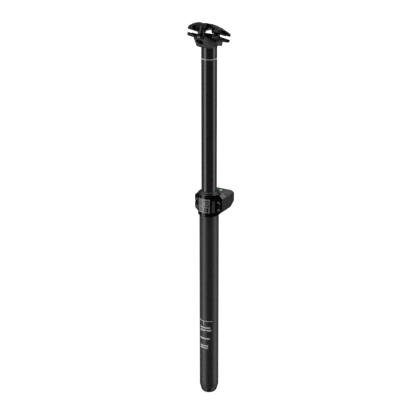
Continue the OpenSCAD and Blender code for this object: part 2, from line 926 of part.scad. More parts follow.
module rail_clamp() {
    color("#161617") clamp_frame() difference() {
        union() {
            plate_xz(-wing_rear, wing_fore) clamp_section();
            for (end = [-1, 1]) {
                translate([0, end * bolt_v, lug_foot]) cylinder(r = lug_r, h = clamp_nut_w - lug_foot);
                translate([0, end * bolt_v, clamp_nut_w]) rotate([0, 90, 0])
                    cylinder(r = bar_r, h = bar_len, center = true);
                translate([-arm_w / 2, end > 0 ? 12 : -bolt_v, bridge_foot])
                    cube([arm_w, bolt_v - 12, clamp_nut_w + bar_r - 0.4 - bridge_foot]);
            }
            translate([-crown_x, -crown_rear, bridge_foot])
                cube([2 * crown_x, crown_len, crown_top - bridge_foot]);
        }
        rail_grooves();
        both_sides(rail_x) wing_slope();
        for (end = [-1, 1]) translate([0, end * bolt_v, 0]) {
            for (shift = [-1, 0, 1]) translate([0, shift * bolt_slot / 2, lug_foot - 1])
                cylinder(r = bolt_hole_r + 0.2, h = 30);
            translate([-bolt_hole_r - 0.2, -bolt_slot / 2, lug_foot - 1])
                cube([2 * bolt_hole_r + 0.4, bolt_slot, 30]);
            translate([0, 0, clamp_nut_w]) rotate([0, 90, 0])
                cylinder(r = clamp_nut_r + nut_bore_gap, h = 40, center = true);
        }
    }
}

module bolt_shape() {
    difference() {
        union() {
            translate([0, 0, flange_top - flange_t - washer_t - bolt_head_h])
                cylinder(r = bolt_head_r, h = bolt_head_h);
            translate([0, 0, flange_top - flange_t - washer_t - 1])
                cylinder(r = bolt_d / 2, h = bolt_end - flange_top + flange_t + washer_t + 1);
        }
        translate([0, 0, flange_top - flange_t - washer_t - bolt_head_h - 1])
            cylinder(r = 2.3, h = 3.4, $fn = 6);
    }
}

module rear_bolt() {
    color("#3a3a3d") clamp_frame() translate([0, -bolt_v, 0]) bolt_shape();
}

module front_bolt() {
    color("#3a3a3d") clamp_frame() translate([0, bolt_v, 0]) bolt_shape();
}

module bolt_washers() {
    color("#8a8c8f") clamp_frame() for (end = [-1, 1]) translate([0, end * bolt_v, 0])
        tube(washer_r, bolt_d / 2 + 0.1, flange_top - flange_t - washer_t, flange_top - flange_t);
}

module nut_shape() {
    translate([0, 0, clamp_nut_w]) difference() {
        rotate([0, 90, 0]) cylinder(r = clamp_nut_r, h = clamp_nut_len, center = true);
        translate([0, 0, -10]) cylinder(r = bolt_d / 2 + slide_gap, h = 20);
    }
}

module rear_nut() {
    color("#77797c") clamp_frame() translate([0, -bolt_v, 0]) nut_shape();
}

module front_nut() {
    color("#77797c") clamp_frame() translate([0, bolt_v, 0]) nut_shape();
}

lower_tube();
inner_tube();
end_cap();
end_cap_seal();
guide_shaft();
bottom_bumper();
inflation_valve();
valve_core_pin();
valve_dust_cap();
collar();
upper_bushing();
shaft_seal();
travel_spacer();
seal_nut();
wiper();
badge_plate();
module_screws();
module_gasket();
module_housing();
status_light();
function_button();
circuit_board();
motor();
gearbox();
cam();
air_valve_body();
air_valve_pin();
battery_contacts();
battery();
battery_latch();
latch_pin();
stanchion();
stanchion_plug();
anti_rotation_keys();
piston_seal();
glide_ring();
top_out_bumper();
head_forging();
head_seal();
rail_cradle();
rail_clamp();
rear_bolt();
front_bolt();
bolt_washers();
rear_nut();
front_nut();
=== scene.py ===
"""Looks of a dropper seatpost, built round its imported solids.

Sizes are millimetres, in the same frame as the solids: Z up the post, Y to the front of the
bicycle, X to its right. A workpiece becomes metres when it is finished as a piece.
"""

import logging
import math
from dataclasses import dataclass
from enum import Enum
from typing import Callable, ClassVar, Iterable, Iterator, Sequence

import bmesh
import bpy
from mathutils import Matrix, Vector


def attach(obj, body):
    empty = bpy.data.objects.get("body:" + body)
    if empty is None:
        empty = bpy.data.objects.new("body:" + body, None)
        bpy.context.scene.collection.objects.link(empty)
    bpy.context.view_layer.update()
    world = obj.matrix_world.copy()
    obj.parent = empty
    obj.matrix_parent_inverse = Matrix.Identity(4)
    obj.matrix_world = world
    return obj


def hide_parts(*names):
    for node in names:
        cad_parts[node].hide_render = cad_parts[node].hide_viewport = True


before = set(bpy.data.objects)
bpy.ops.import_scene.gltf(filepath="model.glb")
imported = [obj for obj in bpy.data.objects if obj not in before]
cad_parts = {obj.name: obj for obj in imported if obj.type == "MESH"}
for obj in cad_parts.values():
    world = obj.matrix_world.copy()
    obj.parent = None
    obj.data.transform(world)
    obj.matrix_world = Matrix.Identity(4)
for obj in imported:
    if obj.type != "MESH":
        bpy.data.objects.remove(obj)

MM = 0.001
LOG = logging.getLogger("seatpost")
FINE_TURN = 128  # faces round the large turned pieces
COARSE_TURN = 96  # faces round the end cap and the forging's foot
TROUGH_TURN = 160  # faces round the head's trough
BIG = 40  # a length that reaches past any small piece

Colour = tuple[float, float, float]
Outline = Sequence[tuple[float, float]]
Place = tuple[float, float, float]
Socket = bpy.types.NodeSocket


class Graph:
    """A tree of shader nodes, with short ways to add and join them."""

    EDGE_SAMPLES: ClassVar[int] = 4
    EDGE_BEND: ClassVar[tuple[float, float]] = (0.985, 0.88)

    def __init__(self, tree: bpy.types.NodeTree) -> None:
        """Empties the tree."""
        self.tree = tree
        tree.nodes.clear()

    def feed(self, target: Socket, value: object) -> None:
        """Links an input to another socket, or gives it a plain value.

        Args:
            target: The input.
            value: A socket, a number, a vector or a colour.
        """
        if isinstance(value, Socket):
            self.tree.links.new(value, target)
        else:
            target.default_value = (*value, 1) if target.type == "RGBA" else value

    def add(self, kind: str, inputs: dict[str | int, object] | None = None,
            **settings: object) -> bpy.types.Node:
        """Adds a node.

        Args:
            kind: The node's type, without the prefix that all of them share.
            inputs: What feeds its inputs.
            settings: Attributes of the node to set.

        Returns:
            The new node.
        """
        node = self.tree.nodes.new("ShaderNode" + kind)
        for key, value in settings.items():
            setattr(node, key, value)
        for key, value in (inputs or {}).items():
            self.feed(node.inputs[key], value)
        return node

    def math(self, operation: str, first: object, second: object) -> Socket:
        """The result of one operation on two numbers or sockets."""
        return self.add("Math", {0: first, 1: second}, operation=operation).outputs["Value"]

    def vector(self, operation: str, first: object, second: object = (0, 0, 0)) -> bpy.types.Node:
        """The node of one operation on two vectors or sockets."""
        return self.add("VectorMath", {0: first, 1: second}, operation=operation)

    def object_place(self, stretch: Place = (1, 1, 1)) -> Socket:
        """Object coordinates, stretched.

        Args:
            stretch: Scale of the pattern along X, Y and Z.

        Returns:
            The vector socket to feed a texture with.
        """
        where = self.add("TexCoord").outputs["Object"]
        return self.add("Mapping", {"Scale": stretch, "Vector": where}).outputs["Vector"]

    def noise(self, size: float, stretch: Place = (1, 1, 1), detail: float = 4) -> Socket:
        """A noise pattern over the surface.

        Args:
            size: Size of its blotches in millimetres.
            stretch: Scale along X, Y and Z.
            detail: Octaves of finer noise.

        Returns:
            The pattern's value, from 0 to 1.
        """
        return self.add("TexNoise", {"Scale": 1 / (size * MM), "Detail": detail,
                                     "Vector": self.object_place(stretch)}).outputs["Fac"]

    def ramp(self, value: Socket, low: float, high: float, to_low: float = 0, to_high: float = 1,
             shape: str = "LINEAR") -> Socket:
        """Maps one range of values to another, held at its ends.

        Args:
            value: What is mapped.
            low: The value that becomes to_low.
            high: The value that becomes to_high.
            to_low: Result at the low end.
            to_high: Result at the high end.
            shape: How the result runs between them.

        Returns:
            The result.
        """
        return self.add("MapRange", {"Value": value, "From Min": low, "From Max": high,
                                     "To Min": to_low, "To Max": to_high},
                        interpolation_type=shape).outputs["Result"]

    def mixed(self, factor: Socket, first: Socket | Colour, second: Socket | Colour) -> Socket:
        """Mixes two colours by a factor."""
        node = self.add("Mix", {"Factor": factor, "A": first, "B": second}, data_type="RGBA")
        return node.outputs["Result"]

    def bumped(self, value: Socket, depth: float, under: Socket | None = None) -> Socket:
        """Raises the surface by a pattern.

        Args:
            value: The pattern.
            depth: Its height in millimetres.
            under: The normal that it is laid over.

        Returns:
            The new normal.
        """
        node = self.add("Bump", {"Distance": depth * MM, "Height": value})
        if under is not None:
            self.feed(node.inputs["Normal"], under)
        return node.outputs["Normal"]

    def edges(self, width: float) -> Socket:
        """How near a point is to a sharp edge.

        Args:
            width: Width of the band along the edge in millimetres.

        Returns:
            The nearness, from 0 to 1.
        """
        rounded = self.add("Bevel", {"Radius": width * MM}, samples=self.EDGE_SAMPLES)
        flat = self.add("NewGeometry").outputs["Normal"]
        bend = self.vector("DOT_PRODUCT", rounded.outputs["Normal"], flat)
        return self.ramp(bend.outputs["Value"], *self.EDGE_BEND)


@dataclass(frozen=True)
class Finish:
    """A surface finish with grain, mottling, and edges lightened by rubbed wear and, on the clamp,
    by painted highlight.
    """

    BLOTCH: ClassVar[float] = 23  # size of the broad blotches against the grain's
    BLACK_LIFT: ClassVar[float] = 0.002
    WEAR_AND_GLINT_SIZE: ClassVar[float] = 1.7
    BLOTCHES: ClassVar[tuple[float, float]] = (0.35, 0.7)
    SPECKS: ClassVar[tuple[float, float, float, float]] = (0.62, 0.8, 0, 0.5)
    WEAR_AND_GLINT: ClassVar[tuple[float, float]] = (0.42, 0.66)
    GLOSS: ClassVar[tuple[float, float]] = (0.3, 0.7)
    LEAST_ROUGHNESS: ClassVar[float] = 0.03
    COAT_ROUGHNESS: ClassVar[float] = 0.12

    name: str
    colour: Colour
    metallic: float = 0.0
    roughness: float = 0.4
    uneven: float = 0.06
    grain: float = 0.25
    relief: float = 0.004
    stretch: Place = (1, 1, 1)
    mottle: float = 0.25
    wear_and_edge_glint: Colour | None = None
    wear_and_glint_width: float = 0.35
    coat: float = 0.0
    specular: float = 0.5
    glow: float = 0.0

    def make(self) -> bpy.types.Material:
        """Builds the material's nodes.

        Returns:
            The material.
        """
        material = bpy.data.materials.new(self.name)
        material.use_nodes = True
        graph = Graph(material.node_tree)
        fine = graph.noise(self.grain, self.stretch)
        broad = graph.noise(self.grain * self.BLOTCH, detail=3)
        smooth = max(self.roughness - self.uneven, self.LEAST_ROUGHNESS)
        shader = graph.add("BsdfPrincipled", {
            "Base Color": self.tint(graph, fine, broad),
            "Metallic": self.metallic,
            "Roughness": graph.ramp(broad, *self.GLOSS, smooth, self.roughness + self.uneven),
            "Normal": self.normal(graph, fine),
            "Coat Weight": self.coat,
            "Coat Roughness": self.COAT_ROUGHNESS,
            "Specular IOR Level": self.specular,
        })
        if self.glow:
            graph.feed(shader.inputs["Emission Color"], self.colour)
            graph.feed(shader.inputs["Emission Strength"], self.glow)
        graph.add("OutputMaterial", {"Surface": shader.outputs["BSDF"]})
        return material

    def tint(self, graph: Graph, fine: Socket, broad: Socket) -> Socket:
        """The base colour, mottled, and lightened at its edges by wear and by painted highlight.

        Args:
            graph: The material's nodes.
            fine: The grain.
            broad: The broad blotches.

        Returns:
            The colour.
        """
        lighter = tuple(min(1.0, part * (1 + self.mottle) + self.BLACK_LIFT)
                        for part in self.colour)
        colour = graph.mixed(graph.ramp(broad, *self.BLOTCHES), self.colour, lighter)
        colour = graph.mixed(graph.ramp(fine, *self.SPECKS), colour, lighter)
        if self.wear_and_edge_glint is None:
            return colour
        # Edge band times noise: rubbed wear, and on the clamp a painted highlight along the bevels.
        worn_and_glinting = graph.math("MULTIPLY", graph.edges(self.wear_and_glint_width),
                          graph.ramp(graph.noise(self.WEAR_AND_GLINT_SIZE), *self.WEAR_AND_GLINT))
        return graph.mixed(worn_and_glinting, colour, self.wear_and_edge_glint)

    def normal(self, graph: Graph, fine: Socket) -> Socket:
        """The surface's normal, raised by its grain."""
        return graph.bumped(fine, self.relief)


@dataclass(frozen=True)
class TurnedTube(Finish):
    """Anodised tube with the fine rings that polishing leaves round it."""

    rings: float = 0.22
    ring_depth: float = 0.0006
    ring_stretch: Place = (0.02, 0.02, 1)

    def normal(self, graph: Graph, fine: Socket) -> Socket:
        """Lays the polishing rings over an even grain.

        Args:
            graph: The material's nodes.
            fine: The grain; not used.

        Returns:
            The normal.
        """
        rings = graph.noise(self.rings, self.ring_stretch, detail=5)
        return graph.bumped(rings, self.ring_depth,
                            graph.bumped(graph.noise(self.grain), self.relief))


@dataclass(frozen=True)
class CircuitBoard(Finish):
    """Green board with copper tracks under its lacquer."""

    lacquer: Colour = (0.03, 0.14, 0.06)
    copper: Colour = (0.25, 0.3, 0.08)
    tracks: float = 260
    track_width: float = 0.06

    def tint(self, graph: Graph, fine: Socket, broad: Socket) -> Socket:
        """Draws the tracks as a brick pattern.

        Args:
            graph: The material's nodes.
            fine: The grain; not used.
            broad: The broad blotches; not used.

        Returns:
            The colour.
        """
        bricks = graph.add("TexBrick", {
            "Vector": graph.object_place(), "Scale": self.tracks, "Mortar Size": self.track_width,
            "Color1": self.colour, "Color2": self.lacquer, "Mortar": self.copper})
        return bricks.outputs["Color"]


class Dress(Enum):
    """The finishes of the post, named for what wears them or for the shade or light that they
    paint.
    """

    STANCHION = TurnedTube("stanchion_anodised", (0.022, 0.022, 0.024), roughness=0.16,
                           uneven=0.02, relief=0.0004, specular=0.8, mottle=0.1)
    LOWER_TUBE = TurnedTube("lower_tube_satin", (0.026, 0.026, 0.028), roughness=0.42, uneven=0.03,
                            relief=0.002, specular=0.7, mottle=0.15, ring_depth=0.0008)
    COLLAR = Finish("collar_anodised", (0.0015, 0.0015, 0.0018), roughness=0.14, uneven=0.03,
                    relief=0.0006, wear_and_edge_glint=(0.02, 0.02, 0.022), wear_and_glint_width=0.15)
    # Far lighter than the collar's black: painted highlight and reflection on the ears' faces and
    # the milled flats.
    COLLAR_WEB = Finish("collar_painted_sheen", (0.04, 0.04, 0.043), roughness=0.38, uneven=0.05,
                        grain=0.4, relief=0.003)
    # Near black and barely reflecting; it dresses the ears and also a skin of painted shade on the
    # barrel beside them.
    COLLAR_EAR = Finish("collar_ear_black_and_painted_shade", (0.0012, 0.0012, 0.0014), uneven=0.04, grain=0.3,
                        relief=0.002, specular=0.015)
    # Lighter than the shell: painted highlight on the shoulders, which face the top light.
    SHELL_FACET = Finish("module_shoulder_painted_highlight", (0.075, 0.075, 0.08), roughness=0.42, uneven=0.05,
                         grain=0.35, mottle=0.2)
    FORGED = Finish("head_forging_satin", (0.06, 0.06, 0.064), roughness=0.42, grain=0.5,
                    relief=0.005, wear_and_edge_glint=(0.08, 0.08, 0.085), wear_and_glint_width=0.3)
    # Its pale edge colour is a painted highlight along the clamp's bevels.
    CLAMP = Finish("clamp_satin", (0.004, 0.004, 0.0045), roughness=0.24, grain=0.45,
                   specular=0.17, wear_and_edge_glint=(0.32, 0.32, 0.325), wear_and_glint_width=0.4)
    # A darker, duller copy of the clamp's finish: painted shade on the bars' tops, with a painted
    # highlight on their edges.
    LUG = Finish("clamp_bar_painted_shade", (0.0025, 0.0025, 0.003), roughness=0.2, uneven=0.05,
                 grain=0.3, relief=0.002, specular=0.1, wear_and_edge_glint=(0.3, 0.3, 0.305))
    # A lighter, glossier copy of the clamp's finish: painted highlight on the columns.
    COLUMN = Finish("clamp_column_painted_highlight", (0.008, 0.008, 0.009), roughness=0.22, uneven=0.05,
                    grain=0.3, relief=0.002)
    # Far darker than the forging: painted shade on the band round the rear bolt's seat.
    FLANGE = Finish("head_band_painted_shade", (0.004, 0.004, 0.0045), roughness=0.3, uneven=0.05,
                    grain=0.3, relief=0.002, specular=0.08, stretch=(0.2, 1, 1))
    # Bright grey: a painted highlight on the band behind the rear bolt.
    PLUG = Finish("plug_painted_highlight", (0.13, 0.13, 0.135), metallic=0.5, roughness=0.35,
                  grain=0.2, relief=0.002)
    # Near black: painted shade on the rocker under the cradle and in the rear bolt's bore.
    ROCKER = Finish("rocker_and_sleeve_painted_shade", (0.002, 0.002, 0.0025), roughness=0.5, uneven=0.08,
                    grain=0.4, specular=0.08)
    BLACK_STEEL = Finish("bolt_black_oxide", (0.002, 0.002, 0.0025), roughness=0.34, grain=0.3,
                         relief=0.002, specular=0.06, wear_and_edge_glint=(0.02, 0.02, 0.022),
                         wear_and_glint_width=0.15)
    BRIGHT_STEEL = Finish("bright_steel", (0.55, 0.55, 0.57), metallic=1.0, roughness=0.24,
                          grain=0.2, relief=0.001, stretch=(1, 1, 6))
    BARE_ALLOY = Finish("clear_anodised_alloy", (0.55, 0.56, 0.57), metallic=1.0, roughness=0.33,
                        grain=0.2, relief=0.001, stretch=(0.1, 0.1, 1))
    BRASS = Finish("machined_brass", (0.72, 0.53, 0.25), metallic=1.0, roughness=0.3, grain=0.2,
                   relief=0.001, stretch=(0.2, 0.2, 1))
    RUBBER = Finish("moulded_rubber", (0.012, 0.012, 0.012), roughness=0.62, grain=0.3,
                    relief=0.006, specular=0.4)
    SHELL = Finish("module_plastic", (0.014, 0.014, 0.0155), roughness=0.42, uneven=0.05,
                   grain=0.35, relief=0.005, mottle=0.2)
    BATTERY = Finish("battery_plastic", (0.016, 0.016, 0.0175), roughness=0.46, uneven=0.05,
                     grain=0.35, relief=0.005, mottle=0.2)
    LATCH = Finish("latch_plastic", (0.014, 0.014, 0.015), roughness=0.45, grain=0.3)
    END_CAP = Finish("end_cap_plastic", (0.02, 0.02, 0.021), roughness=0.45, grain=0.4,
                     relief=0.006, wear_and_edge_glint=(0.09, 0.09, 0.09))
    BADGE = Finish("badge_etched", (0.3, 0.3, 0.305), metallic=0.3, roughness=0.42, uneven=0.08,
                   grain=0.15, relief=0.003, mottle=0.3)
    BADGE_INK = Finish("badge_dark_etch", (0.004, 0.004, 0.005), roughness=0.5, grain=0.15,
                       specular=0.1)
    INK = Finish("printed_marks", (0.75, 0.75, 0.74), roughness=0.55, grain=0.15, relief=0.0005)
    RING_INK = Finish("printed_ring", (0.8, 0.78, 0.68), roughness=0.5, grain=0.2, relief=0.0005)
    LIGHT = Finish("status_lens", (0.28, 0.72, 0.26), roughness=0.18, glow=0.25, coat=0.5)
    BUSHING = Finish("bearing_plastic", (0.1, 0.1, 0.105), roughness=0.5, grain=0.3)
    BOARD = CircuitBoard("circuit_board", (0.02, 0.12, 0.05), roughness=0.35, grain=0.4)

    def material(self) -> bpy.types.Material:
        """The finish's material, made the first time it is asked for."""
        return bpy.data.materials.get(self.value.name) or self.value.make()


class Facing(Enum):
    """The plane that an outline is drawn in, and so the way it is pushed out."""

    ALONG_X = 0
    ALONG_Y = 1
    UP = 2

    def corner(self, first: float, second: float, depth: float) -> Vector:
        """The place of an outline's corner at a depth.

        Args:
            first: The corner's first measure.
            second: Its second measure.
            depth: How far it lies along the way that the outline is pushed.

        Returns:
            The place.
        """
        place = [first, second]
        place.insert(self.value, depth)
        return Vector(place)


@dataclass(frozen=True)
class Tag:
    """What a finished piece rides on, wears and stands for."""

    body: str
    slot: str
    dress: Dress
    replaces: str = ""


class Blank:
    """A workpiece in millimetres, shaped with mesh operators and with other workpieces."""

    SAME_TURNED: ClassVar[float] = 1e-5
    SAME_CUT: ClassVar[float] = 1e-4
    FLAT_WRAPPED: ClassVar[float] = math.radians(0.5)
    FLAT_CUT: ClassVar[float] = math.radians(0.4)

    def __init__(self) -> None:
        """Starts with nothing."""
        self.mesh = bmesh.new()

    @classmethod
    def turned(cls, outline: Outline, start: float = 0, sweep: float = 360,
               steps: int = FINE_TURN) -> "Blank":
        """Turns an outline about Z.

        Args:
            outline: Corners as radius and height; it may start and end on the axis.
            start: Angle that the turn starts at, in degrees from X.
            sweep: How far it turns, in degrees.
            steps: Faces round the turn.

        Returns:
            The solid of revolution.
        """
        blank = cls()
        mesh = blank.mesh
        corners = [mesh.verts.new((r, 0, z)) for r, z in outline]
        pairs = list(zip(corners, corners[1:]))
        if outline[0][0] or outline[-1][0]:
            pairs.append((corners[-1], corners[0]))
        full = sweep >= 360
        geometry: list = corners + [mesh.edges.new(pair) for pair in pairs]
        if not full:
            geometry.append(mesh.faces.new(corners))
        bmesh.ops.spin(mesh, geom=geometry, cent=(0, 0, 0), axis=(0, 0, 1),
                       angle=math.radians(sweep), steps=steps, use_merge=full)
        bmesh.ops.remove_doubles(mesh, verts=mesh.verts, dist=cls.SAME_TURNED)
        if start:
            blank.spun(start)
        return blank.closed()

    @classmethod
    def plate(cls, outline: Outline, facing: Facing, low: float, high: float) -> "Blank":
        """Pushes an outline out to a plate.

        Args:
            outline: Corners in the plane that facing names.
            facing: The plane and the direction.
            low: Where the plate starts.
            high: Where it ends.

        Returns:
            The plate.
        """
        blank = cls()
        face = blank.mesh.faces.new(
            [blank.mesh.verts.new(facing.corner(a, b, low)) for a, b in outline])
        pushed = bmesh.ops.extrude_face_region(blank.mesh, geom=[face])["geom"]
        moved = [item for item in pushed if isinstance(item, bmesh.types.BMVert)]
        bmesh.ops.translate(blank.mesh, verts=moved, vec=facing.corner(0, 0, high - low))
        return blank.closed()

    @classmethod
    def wrapped(cls, corners: Sequence[Place]) -> "Blank":
        """The smallest convex solid round some corners.

        Args:
            corners: Its corners, in any order.

        Returns:
            The convex solid.
        """
        blank = cls()
        verts = [blank.mesh.verts.new(corner) for corner in corners]
        skin = bmesh.ops.convex_hull(blank.mesh, input=verts)
        inner = [item for item in skin["geom_interior"] if isinstance(item, bmesh.types.BMVert)]
        bmesh.ops.delete(blank.mesh, geom=inner, context="VERTS")
        return blank.evened(cls.FLAT_WRAPPED).closed()

    @classmethod
    def block(cls, low: Place, high: Place) -> "Blank":
        """A block between two corners.

        Args:
            low: Its lowest corner.
            high: Its highest corner.

        Returns:
            The block.
        """
        blank = cls()
        size = Vector(high) - Vector(low)
        middle = (Vector(high) + Vector(low)) / 2
        matrix = Matrix.Translation(middle) @ Matrix.Diagonal((*size, 1))
        bmesh.ops.create_cube(blank.mesh, size=1, matrix=matrix)
        return blank

    @classmethod
    def rod(cls, radius: float, start: Place, end: Place, sides: int = 48) -> "Blank":
        """A round rod between two places.

        Args:
            radius: Its radius.
            start: The middle of one end.
            end: The middle of the other.
            sides: Faces round it.

        Returns:
            The rod.
        """
        blank = cls()
        run = Vector(end) - Vector(start)
        turn = run.to_track_quat("Z", "Y").to_matrix().to_4x4()
        matrix = Matrix.Translation((Vector(start) + Vector(end)) / 2) @ turn
        bmesh.ops.create_cone(blank.mesh, cap_ends=True, segments=sides, radius1=radius,
                              radius2=radius, depth=run.length, matrix=matrix)
        return blank

    @classmethod
    def trough(cls, radius: float, half: float, height: float) -> "Blank":
        """A large round rod across the post, at a height in the rails' frame."""
        return cls.rod(radius, (-half, 0, height), (half, 0, height), TROUGH_TURN)

    def closed(self) -> "Blank":
        """Turns all faces outwards."""
        bmesh.ops.recalc_face_normals(self.mesh, faces=self.mesh.faces)
        return self

    def evened(self, angle: float) -> "Blank":
        """Melts faces together that turn by less than an angle.

        Args:
            angle: The angle in radians.

        Returns:
            This workpiece.
        """
        bmesh.ops.dissolve_limit(self.mesh, angle_limit=angle, verts=self.mesh.verts,
                                 edges=self.mesh.edges)
        return self

    def placed(self, matrix: Matrix) -> "Blank":
        """Moves the workpiece."""
        bmesh.ops.transform(self.mesh, matrix=matrix, verts=self.mesh.verts)
        return self

    def moved(self, x: float, y: float, z: float) -> "Blank":
        """Moves the workpiece along the axes."""
        return self.placed(Matrix.Translation((x, y, z)))

    def spun(self, degrees: float) -> "Blank":
        """Turns the workpiece about Z."""
        return self.placed(Matrix.Rotation(math.radians(degrees), 4, "Z"))

    def copied(self) -> "Blank":
        """A second workpiece of the same shape.

        Returns:
            The copy.
        """
        blank = Blank()
        blank.mesh.free()
        blank.mesh = self.mesh.copy()
        return blank

    def mirrored(self) -> "Blank":
        """A copy on the other side of the middle, left for right."""
        return self.copied().placed(Matrix.Scale(-1, 4, (1, 0, 0))).closed()

    def both(self) -> tuple["Blank", "Blank"]:
        """The workpiece and its mirror image."""
        return self, self.mirrored()

    def added(self, *others: "Blank") -> "Blank":
        """Puts other workpieces beside this one, as separate shells of one piece.

        Args:
            others: The other workpieces.

        Returns:
            This workpiece.
        """
        for other in others:
            loose = bpy.data.meshes.new("loose")
            other.mesh.to_mesh(loose)
            self.mesh.from_mesh(loose)
            bpy.data.meshes.remove(loose)
        return self

    def _worked(self, others: Iterable["Blank"], operation: str) -> "Blank":
        """Cuts, joins or meets this workpiece with others, one after another.

        Args:
            others: The other workpieces.
            operation: What is done with each.

        Returns:
            This workpiece.
        """
        target = self._object("work")
        for other in others:
            tool = other._object("tool")
            modifier = target.modifiers.new("work", "BOOLEAN")
            modifier.operation, modifier.solver, modifier.object = operation, "EXACT", tool
            done = bpy.data.meshes.new_from_object(
                target.evaluated_get(bpy.context.evaluated_depsgraph_get()))
            target.modifiers.clear()
            old = target.data
            target.data = done
            bpy.data.meshes.remove(old)
            drop(tool)
        self.mesh.clear()
        self.mesh.from_mesh(target.data)
        drop(target)
        bmesh.ops.remove_doubles(self.mesh, verts=self.mesh.verts, dist=self.SAME_CUT)
        return self.evened(self.FLAT_CUT)

    def _object(self, name: str) -> bpy.types.Object:
        """A scene object that holds the workpiece for a moment.

        Args:
            name: The object's name.

        Returns:
            The object.
        """
        data = bpy.data.meshes.new(name)
        self.mesh.to_mesh(data)
        return in_scene(name, data)

    def cut(self, *others: "Blank") -> "Blank":
        """Cuts other workpieces out of this one."""
        return self._worked(others, "DIFFERENCE")

    def joined(self, *others: "Blank") -> "Blank":
        """Welds other workpieces to this one."""
        return self._worked(others, "UNION")

    def within(self, *others: "Blank") -> "Blank":
        """Keeps only what lies inside the other workpieces."""
        return self._worked(others, "INTERSECT")

    def softened(self, width: float, segments: int = 2, over: float = 28,
                 where: Callable[[Vector], bool] | None = None) -> "Blank":
        """Rounds its edges.

        Args:
            width: Width of the rounding.
            segments: Faces across it.
            over: Only edges that turn by more than this many degrees are rounded.
            where: Says of an edge's middle whether it is rounded.

        Returns:
            The workpiece.
        """
        sharp = [edge for edge in self.mesh.edges
                 if len(edge.link_faces) == 2 and edge.calc_face_angle(0) > math.radians(over)
                 and (where is None or where((edge.verts[0].co + edge.verts[1].co) / 2))]
        bmesh.ops.bevel(self.mesh, geom=sharp, offset=width, offset_type="OFFSET",
                        segments=segments, profile=0.5, affect="EDGES", clamp_overlap=True,
                        material=-1)
        return self

    def finished(self, name: str, tag: Tag, sharp: float = 38) -> bpy.types.Object:
        """Makes the workpiece a piece of the scene.

        Args:
            name: The piece's name.
            tag: What it rides on, wears and stands for.
            sharp: Edges that turn by more than this many degrees stay sharp.

        Returns:
            The piece, its object at the origin.
        """
        self.placed(Matrix.Scale(MM, 4))
        data = bpy.data.meshes.new(name)
        self.mesh.to_mesh(data)
        self.mesh.free()
        data.shade_smooth()
        data.set_sharp_from_angle(angle=math.radians(sharp))
        data.materials.append(tag.dress.material())
        piece = in_scene(name, data)
        piece.modifiers.new("even shading", "WEIGHTED_NORMAL").keep_sharp = True
        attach(piece, tag.body)
        if tag.replaces:
            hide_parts(tag.replaces)
        LOG.info("%s: %d faces", name, len(data.polygons))
        return piece


def in_scene(name: str, data: bpy.types.ID) -> bpy.types.Object:
    """Puts a mesh, a light or a camera into the scene.

    Args:
        name: The object's name.
        data: What it holds.

    Returns:
        The object.
    """
    held = bpy.data.objects.new(name, data)
    bpy.context.scene.collection.objects.link(held)
    return held


def drop(held: bpy.types.Object) -> None:
    """Deletes an object and its mesh.

    Args:
        held: The object.
    """
    data = held.data
    bpy.data.objects.remove(held)
    bpy.data.meshes.remove(data)


def ring(outer: float, inner: float, low: float, high: float, edge: float) -> Outline:
    """The section of a ring with chamfered outer edges."""
    return [(inner, low), (outer - edge, low), (outer, low + edge), (outer, high - edge),
            (outer - edge, high), (inner, high)]


Piece = tuple[str, Blank, Tag]


class Assembly:
    """A group of pieces that are built together."""

    def pieces(self) -> Iterator[Piece]:
        """The group's pieces, in the order that they are built in."""
        raise NotImplementedError

    def build(self) -> None:
        """Finishes every piece of the group."""
        for name, shape, tag in self.pieces():
            shape.finished(name, tag)


class Printed:
    """Marks printed on a tube, all one workpiece."""

    SKIN: ClassVar[float] = 0.04
    FACE: ClassVar[float] = 3  # degrees to a face

    def __init__(self, radius: float) -> None:
        """Starts with a clean tube of that radius."""
        self.radius = radius
        self.marks = Blank()

    def add(self, low: float, high: float, start: float, sweep: float) -> None:
        """Adds a mark.

        Args:
            low: Height of its lower edge.
            high: Height of its upper edge.
            start: Where it starts, in degrees from X.
            sweep: How far it runs round the tube, in degrees.
        """
        inner, outer = self.radius - self.SKIN, self.radius + self.SKIN
        outline = [(inner, low), (outer, low), (outer, high), (inner, high)]
        self.marks.added(Blank.turned(outline, start, sweep, max(2, round(sweep / self.FACE))))


